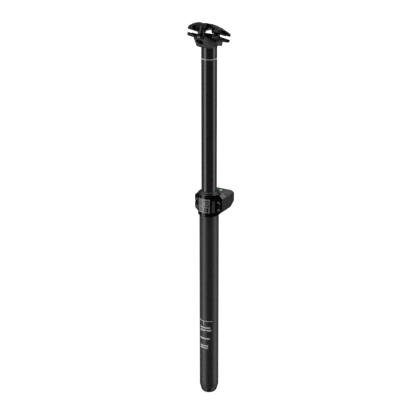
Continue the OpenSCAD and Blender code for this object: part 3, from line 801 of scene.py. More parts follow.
@dataclass
class LowerTube(Assembly):
    """The tube that the frame clamps, with its insertion line and end cap."""

    ROWS: ClassVar[tuple[tuple[float, float, int], ...]] = (
        (10.6, 2.7, 19), (15.4, 2.7, 20), (30.4, 2.7, 18), (44.0, 2.4, 15), (48.0, 2.4, 15))

    radius: float = 15.8
    bore: float = 14.4
    chamfer: float = 0.2
    seat_radius: float = 15.5
    seat_top: float = 20.0
    foot: float = -303.8
    line_z: float = -185.6
    line_half: float = 0.45
    line_start: float = -190.0
    line_sweep: float = 150.0
    hint: tuple[float, float, float, float] = (-7.6, -0.4, -97.0, 3.2)
    rows_start: float = -122.0
    row_shift: float = 1.2
    tick_pitch: float = 3.7
    tick: float = 2.9
    cap_end: float = -320.1
    cap_tip: float = 11.0
    cap_bore: float = 6.6
    cap_depth: float = 11.0
    cap_shoulder: float = -315.9
    plug_radius: float = 14.35
    plug_foot: float = -298.3
    neck_radius: float = 13.2
    neck_top: float = -293.5
    valve_radius: float = 3.6
    slot_width: float = 7.0
    slot_height: float = 8.6
    slots: int = 6
    port_z: float = 14.0
    port_radius: float = 2.55

    def pieces(self) -> Iterator[Piece]:
        """The tube, its marks and the end cap.

        Yields:
            Each piece's name, shape and tag.
        """
        body, tube = "lower_post", "satin_black_tube"
        yield "lower_tube_skin", self.tube(), Tag(body, tube, Dress.LOWER_TUBE, "lower_tube")
        yield "insertion_marks", self.marks(), Tag(body, tube, Dress.INK)
        yield "end_cap_body", self.cap(), Tag(body, "black_cap", Dress.END_CAP, "end_cap")

    def tube(self) -> Blank:
        """The tube, narrower inside the collar, with the air valve's port.

        Returns:
            The tube.
        """
        edge = self.chamfer
        outline = [(self.bore, self.foot), (self.radius - edge, self.foot),
                   (self.radius, self.foot + edge), (self.radius, -edge),
                   (self.seat_radius, -edge), (self.seat_radius, self.seat_top),
                   (self.bore, self.seat_top)]
        port = Blank.rod(self.port_radius, (0, 10, self.port_z), (0, 20, self.port_z))
        return Blank.turned(outline).cut(port)

    def marks(self) -> Blank:
        """The insertion line, the tick under it and the rows of plain ticks.

        Returns:
            All the printed marks as one workpiece.
        """
        z = self.line_z
        low, high, start, sweep = self.hint
        printed = Printed(self.radius)
        printed.add(z - self.line_half, z + self.line_half, self.line_start, self.line_sweep)
        printed.add(z + low, z + high, start, sweep)
        for row, (depth, height, count) in enumerate(self.ROWS):
            start = self.rows_start + (row % 2) * self.row_shift
            for tick in range(count):
                printed.add(z - depth - height, z - depth, start + tick * self.tick_pitch,
                            self.tick)
        return printed.marks

    def cap(self) -> Blank:
        """The tapered cap with its wrench slots.

        Returns:
            The cap.
        """
        joint, end = self.foot - 0.05, self.cap_end
        shell = Blank.turned([
            (self.valve_radius, self.neck_top), (self.neck_radius, self.neck_top),
            (self.neck_radius, self.plug_foot), (self.plug_radius, self.plug_foot),
            (self.plug_radius, joint), (self.radius - 0.15, joint), (self.radius, self.foot - 0.4),
            (self.radius, self.foot - 4.0), (self.radius - 0.5, self.foot - 4.9),
            (13.4, self.cap_shoulder), (self.cap_tip + 0.6, end + 0.5), (self.cap_tip - 0.2, end),
            (self.cap_bore + 0.2, end), (self.cap_bore, end + 0.2),
            (self.cap_bore, end + self.cap_depth), (self.valve_radius, end + self.cap_depth)],
            steps=COARSE_TURN)
        half = self.slot_width / 2
        slots = [Blank.block((11.0, -half, end - 1), (22.0, half, end + self.slot_height))
                 .softened(0.7).spun(360 / self.slots * place) for place in range(self.slots)]
        return shell.cut(*slots).softened(0.25, over=34)


@dataclass
class Collar(Assembly):
    """The collar with its ears, badge panel, seal nut and screws."""

    SPAN: ClassVar[float] = 2.5  # degrees to a face of a curved plate
    NOTCHES: ClassVar[tuple[float, ...]] = (45, 135, 225, 315)
    FIELDS: ClassVar[tuple[tuple[float, float, float, float], ...]] = (
        (10, 31, 25.9, 27.9), (10, 31, 17.4, 19.3), (10, 14, 17.4, 27.9), (27, 31, 17.4, 27.9),
        (17.5, 23.5, 20.8, 24.4), (4, 25, 9.0, 10.6), (4, 25, 13.7, 15.4), (4, 8, 9.0, 15.4),
        (18, 26, 9.0, 15.4), (10, 15.5, 11.4, 12.9))
    RULES: ClassVar[tuple[tuple[float, float, float, tuple[float, ...]], ...]] = (
        (-18.5, -13.5, 2.0, (9.2, 13.2, 18.2, 22.2, 26.4)), (0, 5, 1.9, (18.2, 26.0)),
        (-27, -20, 0.8, (11.2, 13.2, 20.4, 22.6, 24.8)),
        (-11.5, -1.5, 0.8, (10.4, 12.6, 14.6, 20.6, 22.8, 25.0)))

    barrel: float = 18.0
    height: float = 38.3
    ear_half: float = 24.3
    corner: float = 8.5
    ear_back: float = -5.0
    ear_front: float = -0.4
    screw_x: float = 21.0
    screw_z: float = 17.4
    spot: tuple[float, float] = (4.3, 2.9)
    screw_hole: float = 1.7
    screw_head: float = 2.7
    screw_shank: float = 1.45
    screw_socket: float = 1.35
    port_z: float = 14.0
    port_radius: float = 2.55
    port_boss: float = 4.6
    tube_bore: float = 15.55
    tube_seat: float = 20.0
    ledge_bore: float = 14.1
    ledge_top: float = 22.0
    throat_bore: float = 13.05
    throat_top: float = 23.0
    seal_bore: float = 14.7
    nut_bore: float = 15.35
    badge_half: float = 33.0
    badge_foot: float = 7.4
    badge_top: float = 30.4
    badge_bar: float = 16.0
    nut_radius: float = 15.3
    nut_foot: float = 35.5
    top: float = 40.2
    stanchion: float = 12.5
    flat_turn: float = 52.5
    flat_half: float = 8.9
    flat_foot: float = 6.6
    flat_top: float = 27.7
    shade_end: float = 82.0
    mark_turn: float = -16.0

    def pieces(self) -> Iterator[Piece]:
        """The collar and what is fastened to it.

        Yields:
            Each piece's name, shape and tag.
        """
        body, black, etched = "lower_post", "black_anodised", "etched_badge"
        yield "collar_body", self.shell(), Tag(body, black, Dress.COLLAR, "collar")
        yield "collar_ears", self.ears(), Tag(body, black, Dress.COLLAR_EAR)
        yield "collar_painted_shade", self.painted_shade_skin(), Tag(body, black, Dress.COLLAR_EAR)
        yield "ear_painted_highlights", self.ear_highlight_plates(), Tag(body, black, Dress.COLLAR_WEB)
        for side, flat_sheen_pad in zip(("right", "left"), self.flat_sheen_pad().both()):
            yield f"collar_flat_painted_sheen_{side}", flat_sheen_pad, Tag(body, black, Dress.COLLAR_WEB)
        yield "badge_panel", self.badge(), Tag(body, etched, Dress.BADGE, "badge_plate")
        yield "badge_fields", self.badge_fields(), Tag(body, etched, Dress.BADGE_INK)
        yield "seal_nut_ring", self.nut(), Tag(body, black, Dress.COLLAR, "seal_nut")
        yield "wiper_lip", self.wiper(), Tag(body, "black_rubber", Dress.RUBBER, "wiper")
        yield "ear_screws", self.screws(), Tag(body, "black_steel", Dress.BLACK_STEEL,
                                               "module_screws")

    def shell(self) -> Blank:
        """The barrel, bored for the tubes and the seal.

        Returns:
            The collar's body without its ears.
        """
        wall, height, port = self.barrel, self.height, self.port_z
        barrel = Blank.turned([(0, 0), (wall - 0.9, 0), (wall, 0.9), (wall, height - 1.1),
                               (wall - 1.1, height), (0, height)])
        barrel.joined(Blank.rod(self.port_boss, (0, 10, port), (0, wall + 1.4, port)))
        bore, low = [(0, -1)], -1
        for radius, high in ((self.tube_bore, self.tube_seat), (self.ledge_bore, self.ledge_top),
                             (self.throat_bore, self.throat_top), (self.seal_bore, self.nut_foot),
                             (self.nut_bore, height + 2)):
            bore += [(radius, low), (radius, high)]
            low = high
        bore.append((0, low))
        seat = self.arc(17.3, 20, self.badge_foot - 0.1, self.badge_top + 0.1,
                        -self.badge_half - 0.3, self.badge_half + 0.3)
        cuts = [Blank.turned(bore), Blank.rod(self.port_radius, (0, 10, port), (0, 30, port)),
                *self.relief().both(), seat, *self.flat(0, 2, 0.2, 0).both()]
        for z in (2.8, 32.4):
            cuts.append(Blank.block((-0.6, -20, z - 1.3), (0.6, -17.1, z + 1.3))
                        .spun(self.mark_turn))
        return barrel.cut(*cuts)

    def relief(self) -> Blank:
        """The room for the driver beside the right screw."""
        outline = [(14.4, 13.0), (19.8, 13.0), (19.8, 21.8), (14.4, 21.8)]
        return Blank.plate(outline, Facing.ALONG_Y, -13.5, self.ear_back + 1.6)

    def ears(self) -> Blank:
        """Both ears, with the spot faces and holes of their screws.

        Returns:
            The ears as far in as the barrel's wall.
        """
        half, cut, top, back = self.ear_half, self.corner, self.height, self.ear_back
        outline = [(-half, cut), (-half + cut, 0), (half - cut, 0), (half, cut),
                   (half, top - cut), (half - cut, top), (-half + cut, top), (-half, top - cut)]
        ears = Blank.plate(outline, Facing.ALONG_Y, back, self.ear_front)
        ears.softened(1.0, segments=1, where=lambda middle: middle.y < back + 0.1)
        ears.softened(0.2, segments=1)
        cuts = [Blank.rod(self.barrel - 0.3, (0, 0, -2), (0, 0, BIG), FINE_TURN),
                *self.relief().both()]
        spot, depth = self.spot
        for x in (-self.screw_x, self.screw_x):
            cuts += [Blank.rod(radius, (x, low, self.screw_z), (x, high, self.screw_z))
                     for radius, low, high in ((spot, back - 3, back + depth),
                                               (self.screw_hole, -9, 2))]
        return ears.cut(*cuts)

    def painted_shade_skin(self) -> Blank:
        """A black skin round the milled flats, where the barrel runs into the ears: painted shade
        on the barrel.

        Returns:
            The skin on both sides.
        """
        beside = self.badge_half + 1
        right = Blank()
        for low, high, start in ((0.95, self.flat_foot - 0.1, beside),
                                 (self.flat_top + 0.1, self.height - 1.15, beside),
                                 (self.flat_foot, self.flat_top,
                                  self.flat_turn + self.flat_half + 0.4)):
            right.added(self.arc(self.barrel - 0.2, self.barrel + 0.05, low, high, start,
                                 self.shade_end))
        return right.added(right.mirrored())

    def ear_highlight_plates(self) -> Blank:
        """Thin lighter plates over and under each ear's screw: painted highlight on the ears' rear
        faces.

        Returns:
            The four faces.
        """
        upper = [(18.4, 26.4), (18.4, 21.9), (23.4, 21.9), (23.4, 23.0)]
        lower = [(18.2, 12.8), (23.4, 12.8), (23.4, 11.6), (18.2, 7.6)]
        faces = Blank()
        for outline in (upper, lower):
            faces.added(Blank.plate(outline, Facing.ALONG_Y, self.ear_back - 0.05,
                                    self.ear_back + 0.1))
        return faces.added(faces.mirrored())

    def flat(self, below: float, above: float, beside: float, shorter: float) -> Blank:
        """A block on the milled flat on the barrel's right.

        Args:
            below: How far it reaches under the flat.
            above: How far it stands over it.
            beside: How far it reaches past the flat's edges.
            shorter: How far it ends before the flat's foot and top.

        Returns:
            The block.
        """
        turn = math.radians(self.flat_half)
        face, reach = self.barrel * math.cos(turn), self.barrel * math.sin(turn) + beside
        block = Blank.block((face - below, -reach, self.flat_foot + shorter),
                            (face + above, reach, self.flat_top - shorter))
        return block.spun(self.flat_turn - 90)

    def flat_sheen_pad(self) -> Blank:
        """A thin lighter pad just proud of the right flat: painted reflection on the flat."""
        return self.flat(0.2, 0.04, -0.25, 0.35)

    def arc(self, inner: float, outer: float, low: float, high: float, start: float,
            end: float) -> Blank:
        """A curved plate round the barrel.

        Args:
            inner: Its inner radius.
            outer: Its outer radius.
            low: Height of its lower edge.
            high: Height of its upper edge.
            start: Angle of its left end, counted from the back towards the right.
            end: Angle of its right end.

        Returns:
            The plate.
        """
        outline = [(inner, low), (outer, low), (outer, high), (inner, high)]
        return Blank.turned(outline, start - 90, end - start,
                            max(2, round((end - start) / self.SPAN)))

    @property
    def badge_face(self) -> float:
        """The radius of the panel's face."""
        return self.barrel + 0.12

    def badge(self) -> Blank:
        """The etched panel with its raised frames.

        Returns:
            The panel.
        """
        low, high, half, bar = self.badge_foot, self.badge_top, self.badge_half, self.badge_bar
        plate = self.arc(17.35, self.badge_face, low, high, -half, half)
        foot, head = low + 1.5, high - 1.5
        frames = [(-half, half, head, high), (-half, half, low, foot), (half - 3, half, foot, head),
                  (-half, -half + 3, foot, head), (-half + 3, half - 3, bar, bar + 0.8)]
        return plate.added(*self.laid(frames, 0.13))

    def badge_fields(self) -> Blank:
        """The dark boxes, dots and short rules of the panel.

        Returns:
            All the dark fields.
        """
        fields = list(self.FIELDS)
        for start, end, height, places in self.RULES:
            fields += [(start, end, z, z + height) for z in places]
        return Blank().added(*self.laid(fields, 0.04))

    def laid(self, fields: Iterable[tuple[float, float, float, float]],
             over: float) -> Iterator[Blank]:
        """Plates that lie on the panel's face.

        Args:
            fields: Each one's left and right angles, foot and top.
            over: How far they stand over the face.

        Yields:
            Each plate.
        """
        face = self.badge_face
        for start, end, foot, top in fields:
            yield self.arc(face - 0.05, face + over, foot, top, start, end)

    def nut(self) -> Blank:
        """The seal nut with its four spanner notches.

        Returns:
            The nut.
        """
        inner, outer, top = self.stanchion + 0.9, self.nut_radius, self.top
        blank = Blank.turned([
            (inner, self.nut_foot), (outer, self.nut_foot), (outer, top - 1.1),
            (outer - 0.35, top - 0.75), (outer - 0.9, top - 0.5), (outer - 1.3, top),
            (inner + 0.5, top), (inner, top - 0.5)])
        notches = [Blank.block((14.5, -1.4, top - 1.4), (17, 1.4, top + 1)).spun(turn)
                   for turn in self.NOTCHES]
        return blank.cut(*notches)

    def wiper(self) -> Blank:
        """The rubber lip that wipes the stanchion.

        Returns:
            The lip.
        """
        inner, top = self.stanchion + 0.05, self.top
        return Blank.turned([(inner, 33.7), (13.35, 33.7), (13.35, top - 0.1), (13.2, top + 0.2),
                             (12.95, top + 0.9), (12.75, top + 1.2), (inner, top + 1.2)])

    def screws(self) -> Blank:
        """Both ear screws, each with its hexagon socket.

        Returns:
            The two screws.
        """
        z, back = self.screw_z, self.ear_back
        pair = Blank()
        for x in (self.screw_x, -self.screw_x):
            head = Blank.rod(self.screw_head, (x, back + 0.05, z), (x, back + 2.75, z))
            head.softened(0.35, where=lambda middle: middle.y < back + 0.5)
            head.joined(Blank.rod(self.screw_shank, (x, back + 2, z), (x, 12.8, z), sides=24))
            pair.added(head.cut(Blank.rod(self.screw_socket, (x, back - 1, z),
                                          (x, back + 1.6, z), sides=6)))
        return pair


@dataclass
class Module(Assembly):
    """The actuator's housing and battery, with light, button and latch."""

    SMALL_TURN: ClassVar[int] = 40  # faces round the lens and the button
    GRIPS: ClassVar[tuple[float, ...]] = (34.0, 35.6, 37.2)
    SLOPE: ClassVar[float] = 0.689  # rise of the module's belly towards its nose

    half: float = 24.2
    length: float = 40.3
    split: float = 31.5
    top: float = 34.2
    drop: float = 2.0
    flank_top: float = 28.2
    flank_foot: float = 6.5
    chamfer_x: float = 8.2
    chamfer_z: float = 6.0
    crown_run: float = 1.3
    belly: float = 20.0
    nose: float = 14.0
    barrel: float = 18.25
    seam: float = 16.2
    front_wall: float = 1.6
    hollow_start: float = 19.6
    port_z: float = 14.0
    port_room: float = 4.85
    screw_x: float = 21.0
    screw_z: float = 17.4
    screw_hole: float = 1.55
    slit_x: float = 24.6
    latch_half: float = 8.0
    latch_gap: float = 0.25
    hinge_y: float = 24.6
    hinge_z: float = 5.6
    hinge_radius: float = 2.1
    hinge_bore: float = 1.05
    rib_pitch: float = 4.4
    ribs: int = 6
    light: Place = (6.0, 27.6, 32.8)
    light_radius: float = 1.7
    button_y: float = 18.0
    button_along: float = 0.45
    button_room_radius: float = 2.35

    def pieces(self) -> Iterator[Piece]:
        """The housing, the battery and their small parts.

        Yields:
            Each piece's name, shape and tag.
        """
        body, shell, rubber = "lower_post", "module_shell", "black_rubber"
        yield "module_shell", self.housing(), Tag(body, shell, Dress.SHELL, "module_housing")
        yield "shoulder_painted_highlights", self.shoulders(), Tag(body, shell, Dress.SHELL_FACET)
        yield "battery_shell", self.battery(), Tag("battery_pack", "battery_shell", Dress.BATTERY,
                                                   "battery")
        yield "gasket_sheet", self.gasket(), Tag(body, rubber, Dress.RUBBER, "module_gasket")
        yield "latch_flap", self.latch(), Tag("latch", "black_plastic", Dress.LATCH,
                                              "battery_latch")
        yield "status_lens", self.lens(), Tag(body, "green_lens", Dress.LIGHT, "status_light")
        yield "button_cap", self.button(), Tag("button", rubber, Dress.RUBBER, "function_button")

    def envelope(self, start: float, end: float, inset: float = 0) -> Blank:
        """The module's outer form between two distances from the ears.

        Args:
            start: The first distance.
            end: The second.
            inset: How far its sides and top are drawn in.

        Returns:
            The form.
        """
        nose, top = self.length, self.top - inset
        profile = [(-1, 0), (self.belly, 0), (nose, self.nose), (nose, top - self.drop - 1.6),
                   (nose - 1.6, top - self.drop), (-1, top + self.drop / nose)]
        across = Blank.plate(self.outline(inset), Facing.ALONG_Y, start, end)
        return across.within(Blank.plate(profile, Facing.ALONG_X, -30, 30))

    def outline(self, inset: float) -> Outline:
        """The module seen from behind, its sides and top drawn in by an inset.

        Args:
            inset: How far they are drawn in.

        Returns:
            The outline.
        """
        half, foot, top = self.half - inset, self.flank_foot, self.flank_top - inset * 0.3
        run = self.chamfer_x * self.crown_run
        crown = self.flank_top + self.chamfer_z * self.crown_run - inset
        return [(-half, foot), (-half + self.chamfer_x, 0), (half - self.chamfer_x, 0),
                (half, foot), (half, top), (half - run, crown), (-half + run, crown), (-half, top)]

    def barrel_room(self) -> Blank:
        """The room that the collar's barrel takes."""
        return Blank.rod(self.barrel, (0, 0, -2), (0, 0, BIG), FINE_TURN)

    def housing(self) -> Blank:
        """The fixed shell, in two steps parted by a fine seam.

        Returns:
            The shell, hollow behind its front wall.
        """
        rear = self.envelope(0, self.seam)
        rear.softened(0.7, segments=3, where=lambda middle: middle.y > 0.2)
        front = self.envelope(self.seam - 2, self.split, 0.35)
        front.softened(0.9, segments=3, where=lambda middle: middle.y < self.split - 0.1)
        outline = [(-19, 8.5), (19, 8.5), (19, 24), (14, 29), (-14, 29), (-19, 24)]
        hollow = Blank.plate(outline, Facing.ALONG_Y, self.hollow_start,
                             self.split - self.front_wall)
        x, y, _ = self.light
        cuts = [hollow, self.barrel_room(),
                Blank.rod(self.port_room, (0, 5, self.port_z),
                          (0, self.hollow_start + 0.1, self.port_z)),
                self.latch_room(), Blank.rod(self.light_radius + 0.05, (x, y, 20), (x, y, BIG)),
                self.button_room()]
        for side in (-1, 1):
            screw, slit = side * self.screw_x, side * self.slit_x
            cuts += [Blank.rod(self.screw_hole, (screw, -1, self.screw_z),
                               (screw, 14, self.screw_z), 24),
                     Blank.block((slit - 1.2, 21.6, 11.1), (slit + 1.2, 29.8, 12.0))]
        return rear.joined(front).cut(*cuts)

    def shoulders(self) -> Blank:
        """Lighter plates on both shoulders, from the ears to the seam: painted highlight where the
        top light falls.

        Returns:
            The two faces.
        """
        outline = [(23.9, 28.47), (17.52, 33.14), (17.34, 32.9), (23.7, 28.2)]
        face = Blank.plate(outline, Facing.ALONG_Y, 0.8, self.seam - 0.7)
        return face.added(face.mirrored())

    def latch_room(self) -> Blank:
        """The room that the latch lies in.

        Returns:
            The room.
        """
        half = self.latch_half + self.latch_gap
        outline = [(22.0, -2), (22.0, 7.0), (23.8, 8.0), (26.2, 8.0), (36.9, 14.3), (38.6, 16.1),
                   (38.6, 18.5), (42.3, 18.5), (42.3, -2)]
        return Blank.plate(outline, Facing.ALONG_X, -half, half)

    def battery(self) -> Blank:
        """The battery, with its finger ribs and a seam round its joint.

        Returns:
            The battery.
        """
        body = self.envelope(self.split + 0.2, self.length + 0.5, 0.15)
        body.softened(0.8, segments=3, where=lambda middle: middle.y > self.split + 0.4)
        body.cut(self.latch_room())
        places = [-11 + rib * self.rib_pitch for rib in range(self.ribs)]
        return body.cut(*[Blank.block((x - 0.5, self.length - 0.5, 21.5),
                                      (x + 0.5, self.length + 1, 28.5)).softened(0.2)
                          for x in places])

    def gasket(self) -> Blank:
        """The thin sheet between ears and housing.

        Returns:
            The sheet.
        """
        sheet = Blank.plate(self.outline(0.4), Facing.ALONG_Y, -0.4, 0.0)
        sheet.within(Blank.block((-30, -1, 0), (30, 1, self.top)))
        return sheet.cut(self.barrel_room())

    def latch(self) -> Blank:
        """The battery's latch flap, with its hinge barrel and finger grooves.

        Returns:
            The flap.
        """
        half, y, z = self.latch_half, self.hinge_y, self.hinge_z
        outline = [(24.6, 3.5), (25.8, 7.2), (26.2, 7.3), (37.1, 14.0), (38.9, 15.8), (38.9, 18.0),
                   (self.length, 18.0), (self.length, self.nose), (25.5, 3.79)]
        flap = Blank.plate(outline, Facing.ALONG_X, -half, half).softened(0.35)
        flap.joined(Blank.rod(self.hinge_radius, (-half, y, z), (half, y, z)))
        grips = []
        for along in self.GRIPS:
            under = self.SLOPE * (along - self.belly) - 0.25
            grips.append(Blank.rod(0.5, (-5, along, under), (5, along, under), sides=12))
        return flap.cut(*grips, Blank.rod(self.hinge_bore, (-12, y, z), (12, y, z)))

    def lens(self) -> Blank:
        """The status light's domed lens.

        Returns:
            The lens.
        """
        x, y, top = self.light
        outline = [(0, top - 2.2), (self.light_radius, top - 2.2), (self.light_radius, top - 0.15),
                   (1.45, top + 0.02), (0.9, top + 0.14), (0, top + 0.18)]
        return Blank.turned(outline, steps=self.SMALL_TURN).moved(x, y, 0)

    def button_frame(self) -> Matrix:
        """The button's place on the shoulder, Z outwards.

        Returns:
            The place.
        """
        along = self.button_along
        place = Vector((self.half - self.chamfer_x * along, self.button_y,
                        self.flank_top + self.chamfer_z * along))
        tilt = math.pi / 2 - math.atan2(self.chamfer_x, self.chamfer_z)
        return Matrix.Translation(place) @ Matrix.Rotation(tilt, 4, "Y")

    def button_room(self) -> Blank:
        """The hole that the button moves in."""
        room = Blank.rod(self.button_room_radius, (0, 0, -3), (0, 0, 3), self.SMALL_TURN)
        return room.placed(self.button_frame())

    def button(self) -> Blank:
        """The rubber button with its raised middle.

        Returns:
            The button.
        """
        outline = [(0, -1.3), (2.28, -1.3), (2.28, 0.0), (2.1, 0.2), (1.75, 0.26), (1.6, 0.42),
                   (0, 0.5)]
        return Blank.turned(outline, steps=self.SMALL_TURN).placed(self.button_frame())


@dataclass
class Stanchion(Assembly):
    """The polished tube that carries the saddle."""

    RING: ClassVar[tuple[tuple[float, float], ...]] = (
        (-126, 44), (-78, 3), (-72, 9), (-58, 3), (-52, 24), (-22, 60))

    radius: float = 12.5
    bore: float = 10.7
    foot: float = -54.0
    top: float = 277.5
    ring_z: float = 258.6
    ring_half: float = 0.65

    def pieces(self) -> Iterator[Piece]:
        """The tube and its printed ring.

        Yields:
            Each piece's name, shape and tag.
        """
        body, slot = "upper_post", "gloss_black_tube"
        outline = [(self.bore, self.foot), (self.radius, self.foot), (self.radius, self.top),
                   (self.bore, self.top)]
        yield "stanchion_tube", Blank.turned(outline), Tag(body, slot, Dress.STANCHION, "stanchion")
        printed = Printed(self.radius)
        for start, sweep in self.RING:
            printed.add(self.ring_z - self.ring_half, self.ring_z + self.ring_half, start, sweep)
        yield "printed_ring", printed.marks, Tag(body, slot, Dress.RING_INK)


@dataclass
class SaddleHead(Assembly):
    """The head forging and the two-bolt rail clamp, drawn in the rails' own tilted frame.

    In that frame X runs across, V along the rails to the front and W square to them, upwards.
    """

    ROD: ClassVar[int] = 64  # faces round the rails' grooves, the lugs and the sleeve
    HOLE: ClassVar[int] = 32  # faces round a bolt's hole
    ENDS: ClassVar[tuple[int, int]] = (-1, 1)

    top: float = 277.5
    rise: float = 18.1
    tilt: float = 21.0
    rail_x: float = 22.0
    rail_r: float = 3.5
    lip: float = 2.2
    half_length: float = 19.0
    half_width: float = 27.5
    bolt_v: float = 24.5
    bolt_radius: float = 2.5
    bolt_hole: float = 2.9
    bolt_head: float = 4.2
    bolt_top: float = 12.6
    flange_hole: float = 7.2
    slot_radius: float = 3.1
    bolt_slide: float = 1.4
    axis_w: float = 8.0
    trough: float = 20.0
    trough_gap: float = 0.3
    rocker_half: float = 6.0
    clamp_top: float = 14.2
    crown_top: float = 15.8
    crown_half: float = 8.5
    bridge_foot: float = 8.4
    arm_half: float = 6.4
    flange_top: float = -8.0
    flange: float = 4.6
    back_v: float = -30.5
    nut_w: float = 9.4
    nut_radius: float = 3.5
    nut_half: float = 8.0
    bar_radius: float = 5.2
    bar_half: float = 8.5
    spine_half: float = 8.2
    cheek_half: float = 9.6
    sleeve_radius: float = 5.9
    collar_radius: float = 13.4
    plug_depth: float = 18.0

    def pieces(self) -> Iterator[Piece]:
        """The forging, the clamp halves and their bolts.

        Yields:
            Each piece's name, shape and tag.
        """
        post, saddle, clamp, steel = "upper_post", "saddle_clamp", "clamp_black", "black_steel"
        yield "head_body", self.forging(), Tag(post, "forged_black", Dress.FORGED, "head_forging")
        yield "cradle_body", self.cradle(), Tag(saddle, clamp, Dress.CLAMP, "rail_cradle")
        yield "flange_band", self.flange_band(), Tag(post, "forged_black", Dress.FLANGE)
        yield "flange_plug", self.plug(), Tag(post, "bare_steel", Dress.PLUG)
        yield "bolt_bore_sleeve", self.bore_sleeve(), Tag(post, clamp, Dress.ROCKER)
        yield "cradle_rocker", self.rocker(), Tag(saddle, clamp, Dress.ROCKER)
        yield "clamp_body", self.clamp(), Tag(saddle, clamp, Dress.CLAMP, "rail_clamp")
        yield "clamp_bars", self.bars(), Tag(saddle, clamp, Dress.LUG)
        yield "clamp_columns", self.columns(), Tag(saddle, clamp, Dress.COLUMN)
        for end, v in (("rear", -self.bolt_v), ("front", self.bolt_v)):
            yield f"{end}_bolt_body", self.bolt(v), Tag(post, steel, Dress.BLACK_STEEL,
                                                        f"{end}_bolt")
            yield f"{end}_nut_body", self.barrel_nut(v), Tag(f"{end}_nut", steel,
                                                             Dress.BLACK_STEEL, f"{end}_nut")
        yield "bolt_washer_pair", self.washers(), Tag(post, "bare_steel", Dress.BLACK_STEEL,
                                                      "bolt_washers")

    @property
    def rails(self) -> Matrix:
        """The rails' frame: X across, Y along the rails, Z square to them."""
        return (Matrix.Translation((0, 0, self.top + self.rise))
                @ Matrix.Rotation(math.radians(-self.tilt), 4, "X"))

    @property
    def bolts(self) -> tuple[float, float]:
        """The bolts' places along the rails."""
        return -self.bolt_v, self.bolt_v

    @property
    def seat(self) -> float:
        """The height of the bolts' seats under the flange."""
        return self.flange_top - self.flange

    def from_rails(self, v: float, w: float) -> tuple[float, float]:
        """A place in the rails' frame as Y and Z of the post.

        Args:
            v: Distance along the rails, to the front.
            w: Distance square to them, upwards.

        Returns:
            The place's Y and Z.
        """
        place = self.rails @ Vector((0, v, w))
        return place.y, place.z

    @staticmethod
    def upright(radius: float, v: float, low: float, high: float, sides: int) -> Blank:
        """A rod square to the rails.

        Args:
            radius: Its radius.
            v: Its place along the rails.
            low: Where it starts.
            high: Where it ends.
            sides: Faces round it.

        Returns:
            The rod.
        """
        return Blank.rod(radius, (0, v, low), (0, v, high), sides)

    def forging(self) -> Blank:
        """The head forging.

        Returns:
            The forging, with its trough, cheeks, bolt seats and the spigot in the tube.
        """
        top, rim = self.top, self.collar_radius
        side = [self.from_rails(v, w) for v, w in (
            (self.back_v, -8.0), (16.5, -8.0), (17.0, -4.8), (30.2, -4.8), (30.0, -12.6),
            (21.0, -13.6))]
        side += [(13.2, top), (-14.5, top), (-21.2, top + 3.8), (-25.4, top + 11),
                 (-28.8, top + 20.5)]
        half, wide = self.spine_half, self.spine_half + 1.4
        plan = [(-half + 0.6, -34), (half - 0.6, -34), (half, -26), (half, 9), (wide, 13),
                (wide, 26), (half, 34), (-half, 34), (-wide, 26), (-wide, 13), (-half, 9),
                (-half, -26)]
        core = Blank.plate(side, Facing.ALONG_X, -30, 30)
        core.within(Blank.plate(plan, Facing.UP, top - 10, top + 80)).softened(1.1, segments=3)
        foot = [(0, top), (rim - 0.2, top), (rim, top + 0.2), (rim, top + 1.6), (12.2, top + 2.5),
                (0, top + 2.5)]
        spigot = [(0, top - self.plug_depth), (10.6, top - self.plug_depth), (10.6, top + 1),
                  (0, top + 1)]
        core.joined(Blank.turned(foot, steps=COARSE_TURN), Blank.turned(spigot, steps=COARSE_TURN))
        room = Blank.trough(self.trough + self.trough_gap, BIG, self.axis_w)
        core.cut(room.placed(self.rails)).joined(self.shoulders())
        bores = []
        for v in self.bolts:
            bores += [self.upright(self.bolt_hole, v, -BIG, 20, self.HOLE),
                      self.upright(self.flange_hole, v, self.flange_top, 5, 48),
                      self.upright(self.sleeve_radius, v, self.seat - 30, self.seat, 48)]
        return core.cut(*[bore.placed(self.rails) for bore in bores])

    def shoulders(self) -> Blank:
        """The flared back of the forging.

        Returns:
            The body that runs from the bolt's flange down to the tube, with the trough's cheeks.
        """
        half, cheek, back = self.spine_half, self.cheek_half, self.back_v
        right = [(half, *self.from_rails(v, w)) for v, w in (
            (back, self.flange_top), (back, self.seat), (-16.0, self.flange_top))]
        right += [(12.2, -18.3, 279.7), (11.0, -13.4, self.top), (cheek, -22.7, 296.8),
                  (cheek, -15.6, 294.5), (cheek, 11.5, 278.9), (12.0, 4.0, self.top + 0.4),
                  (9.0, 9.0, self.top)]
        body = Blank.wrapped(right + [(-x, y, z) for x, y, z in right]).softened(0.7, segments=3)
        room = Blank.trough(self.trough + self.trough_gap, self.rocker_half + 0.6, self.axis_w)
        return body.cut(room.placed(self.rails))

    def flange_band(self) -> Blank:
        """A dark band round the rear bolt's seat: painted shade on the down-facing flange.

        Returns:
            The band.
        """
        half, back = self.spine_half + 0.35, self.back_v - 0.4
        outline = [(back, -12.0), (-17.5, -12.6), (-15.4, -9.6), (-15.4, -8.6), (-17.0, -7.8),
                   (back, -7.8)]
        band = Blank.plate(outline, Facing.ALONG_X, -half, half).softened(0.7, segments=3)
        hole = self.upright(5.4, -self.bolt_v, -14, 0, 48)
        room = Blank.trough(self.trough + self.trough_gap + 0.05, BIG, self.axis_w)
        return band.cut(hole, room).placed(self.rails)

    def bore_sleeve(self) -> Blank:
        """A dark sleeve lining the bore of the rear bolt: painted shade deep in the pocket.

        Returns:
            The sleeve, trimmed to the forging.
        """
        outline = ring(self.sleeve_radius, 5.2, self.seat - 12, self.seat - 0.1, 0.1)
        sleeve = Blank.turned(outline, steps=self.ROD).moved(0, -self.bolt_v, 0)
        return sleeve.placed(self.rails).within(self.shoulders())

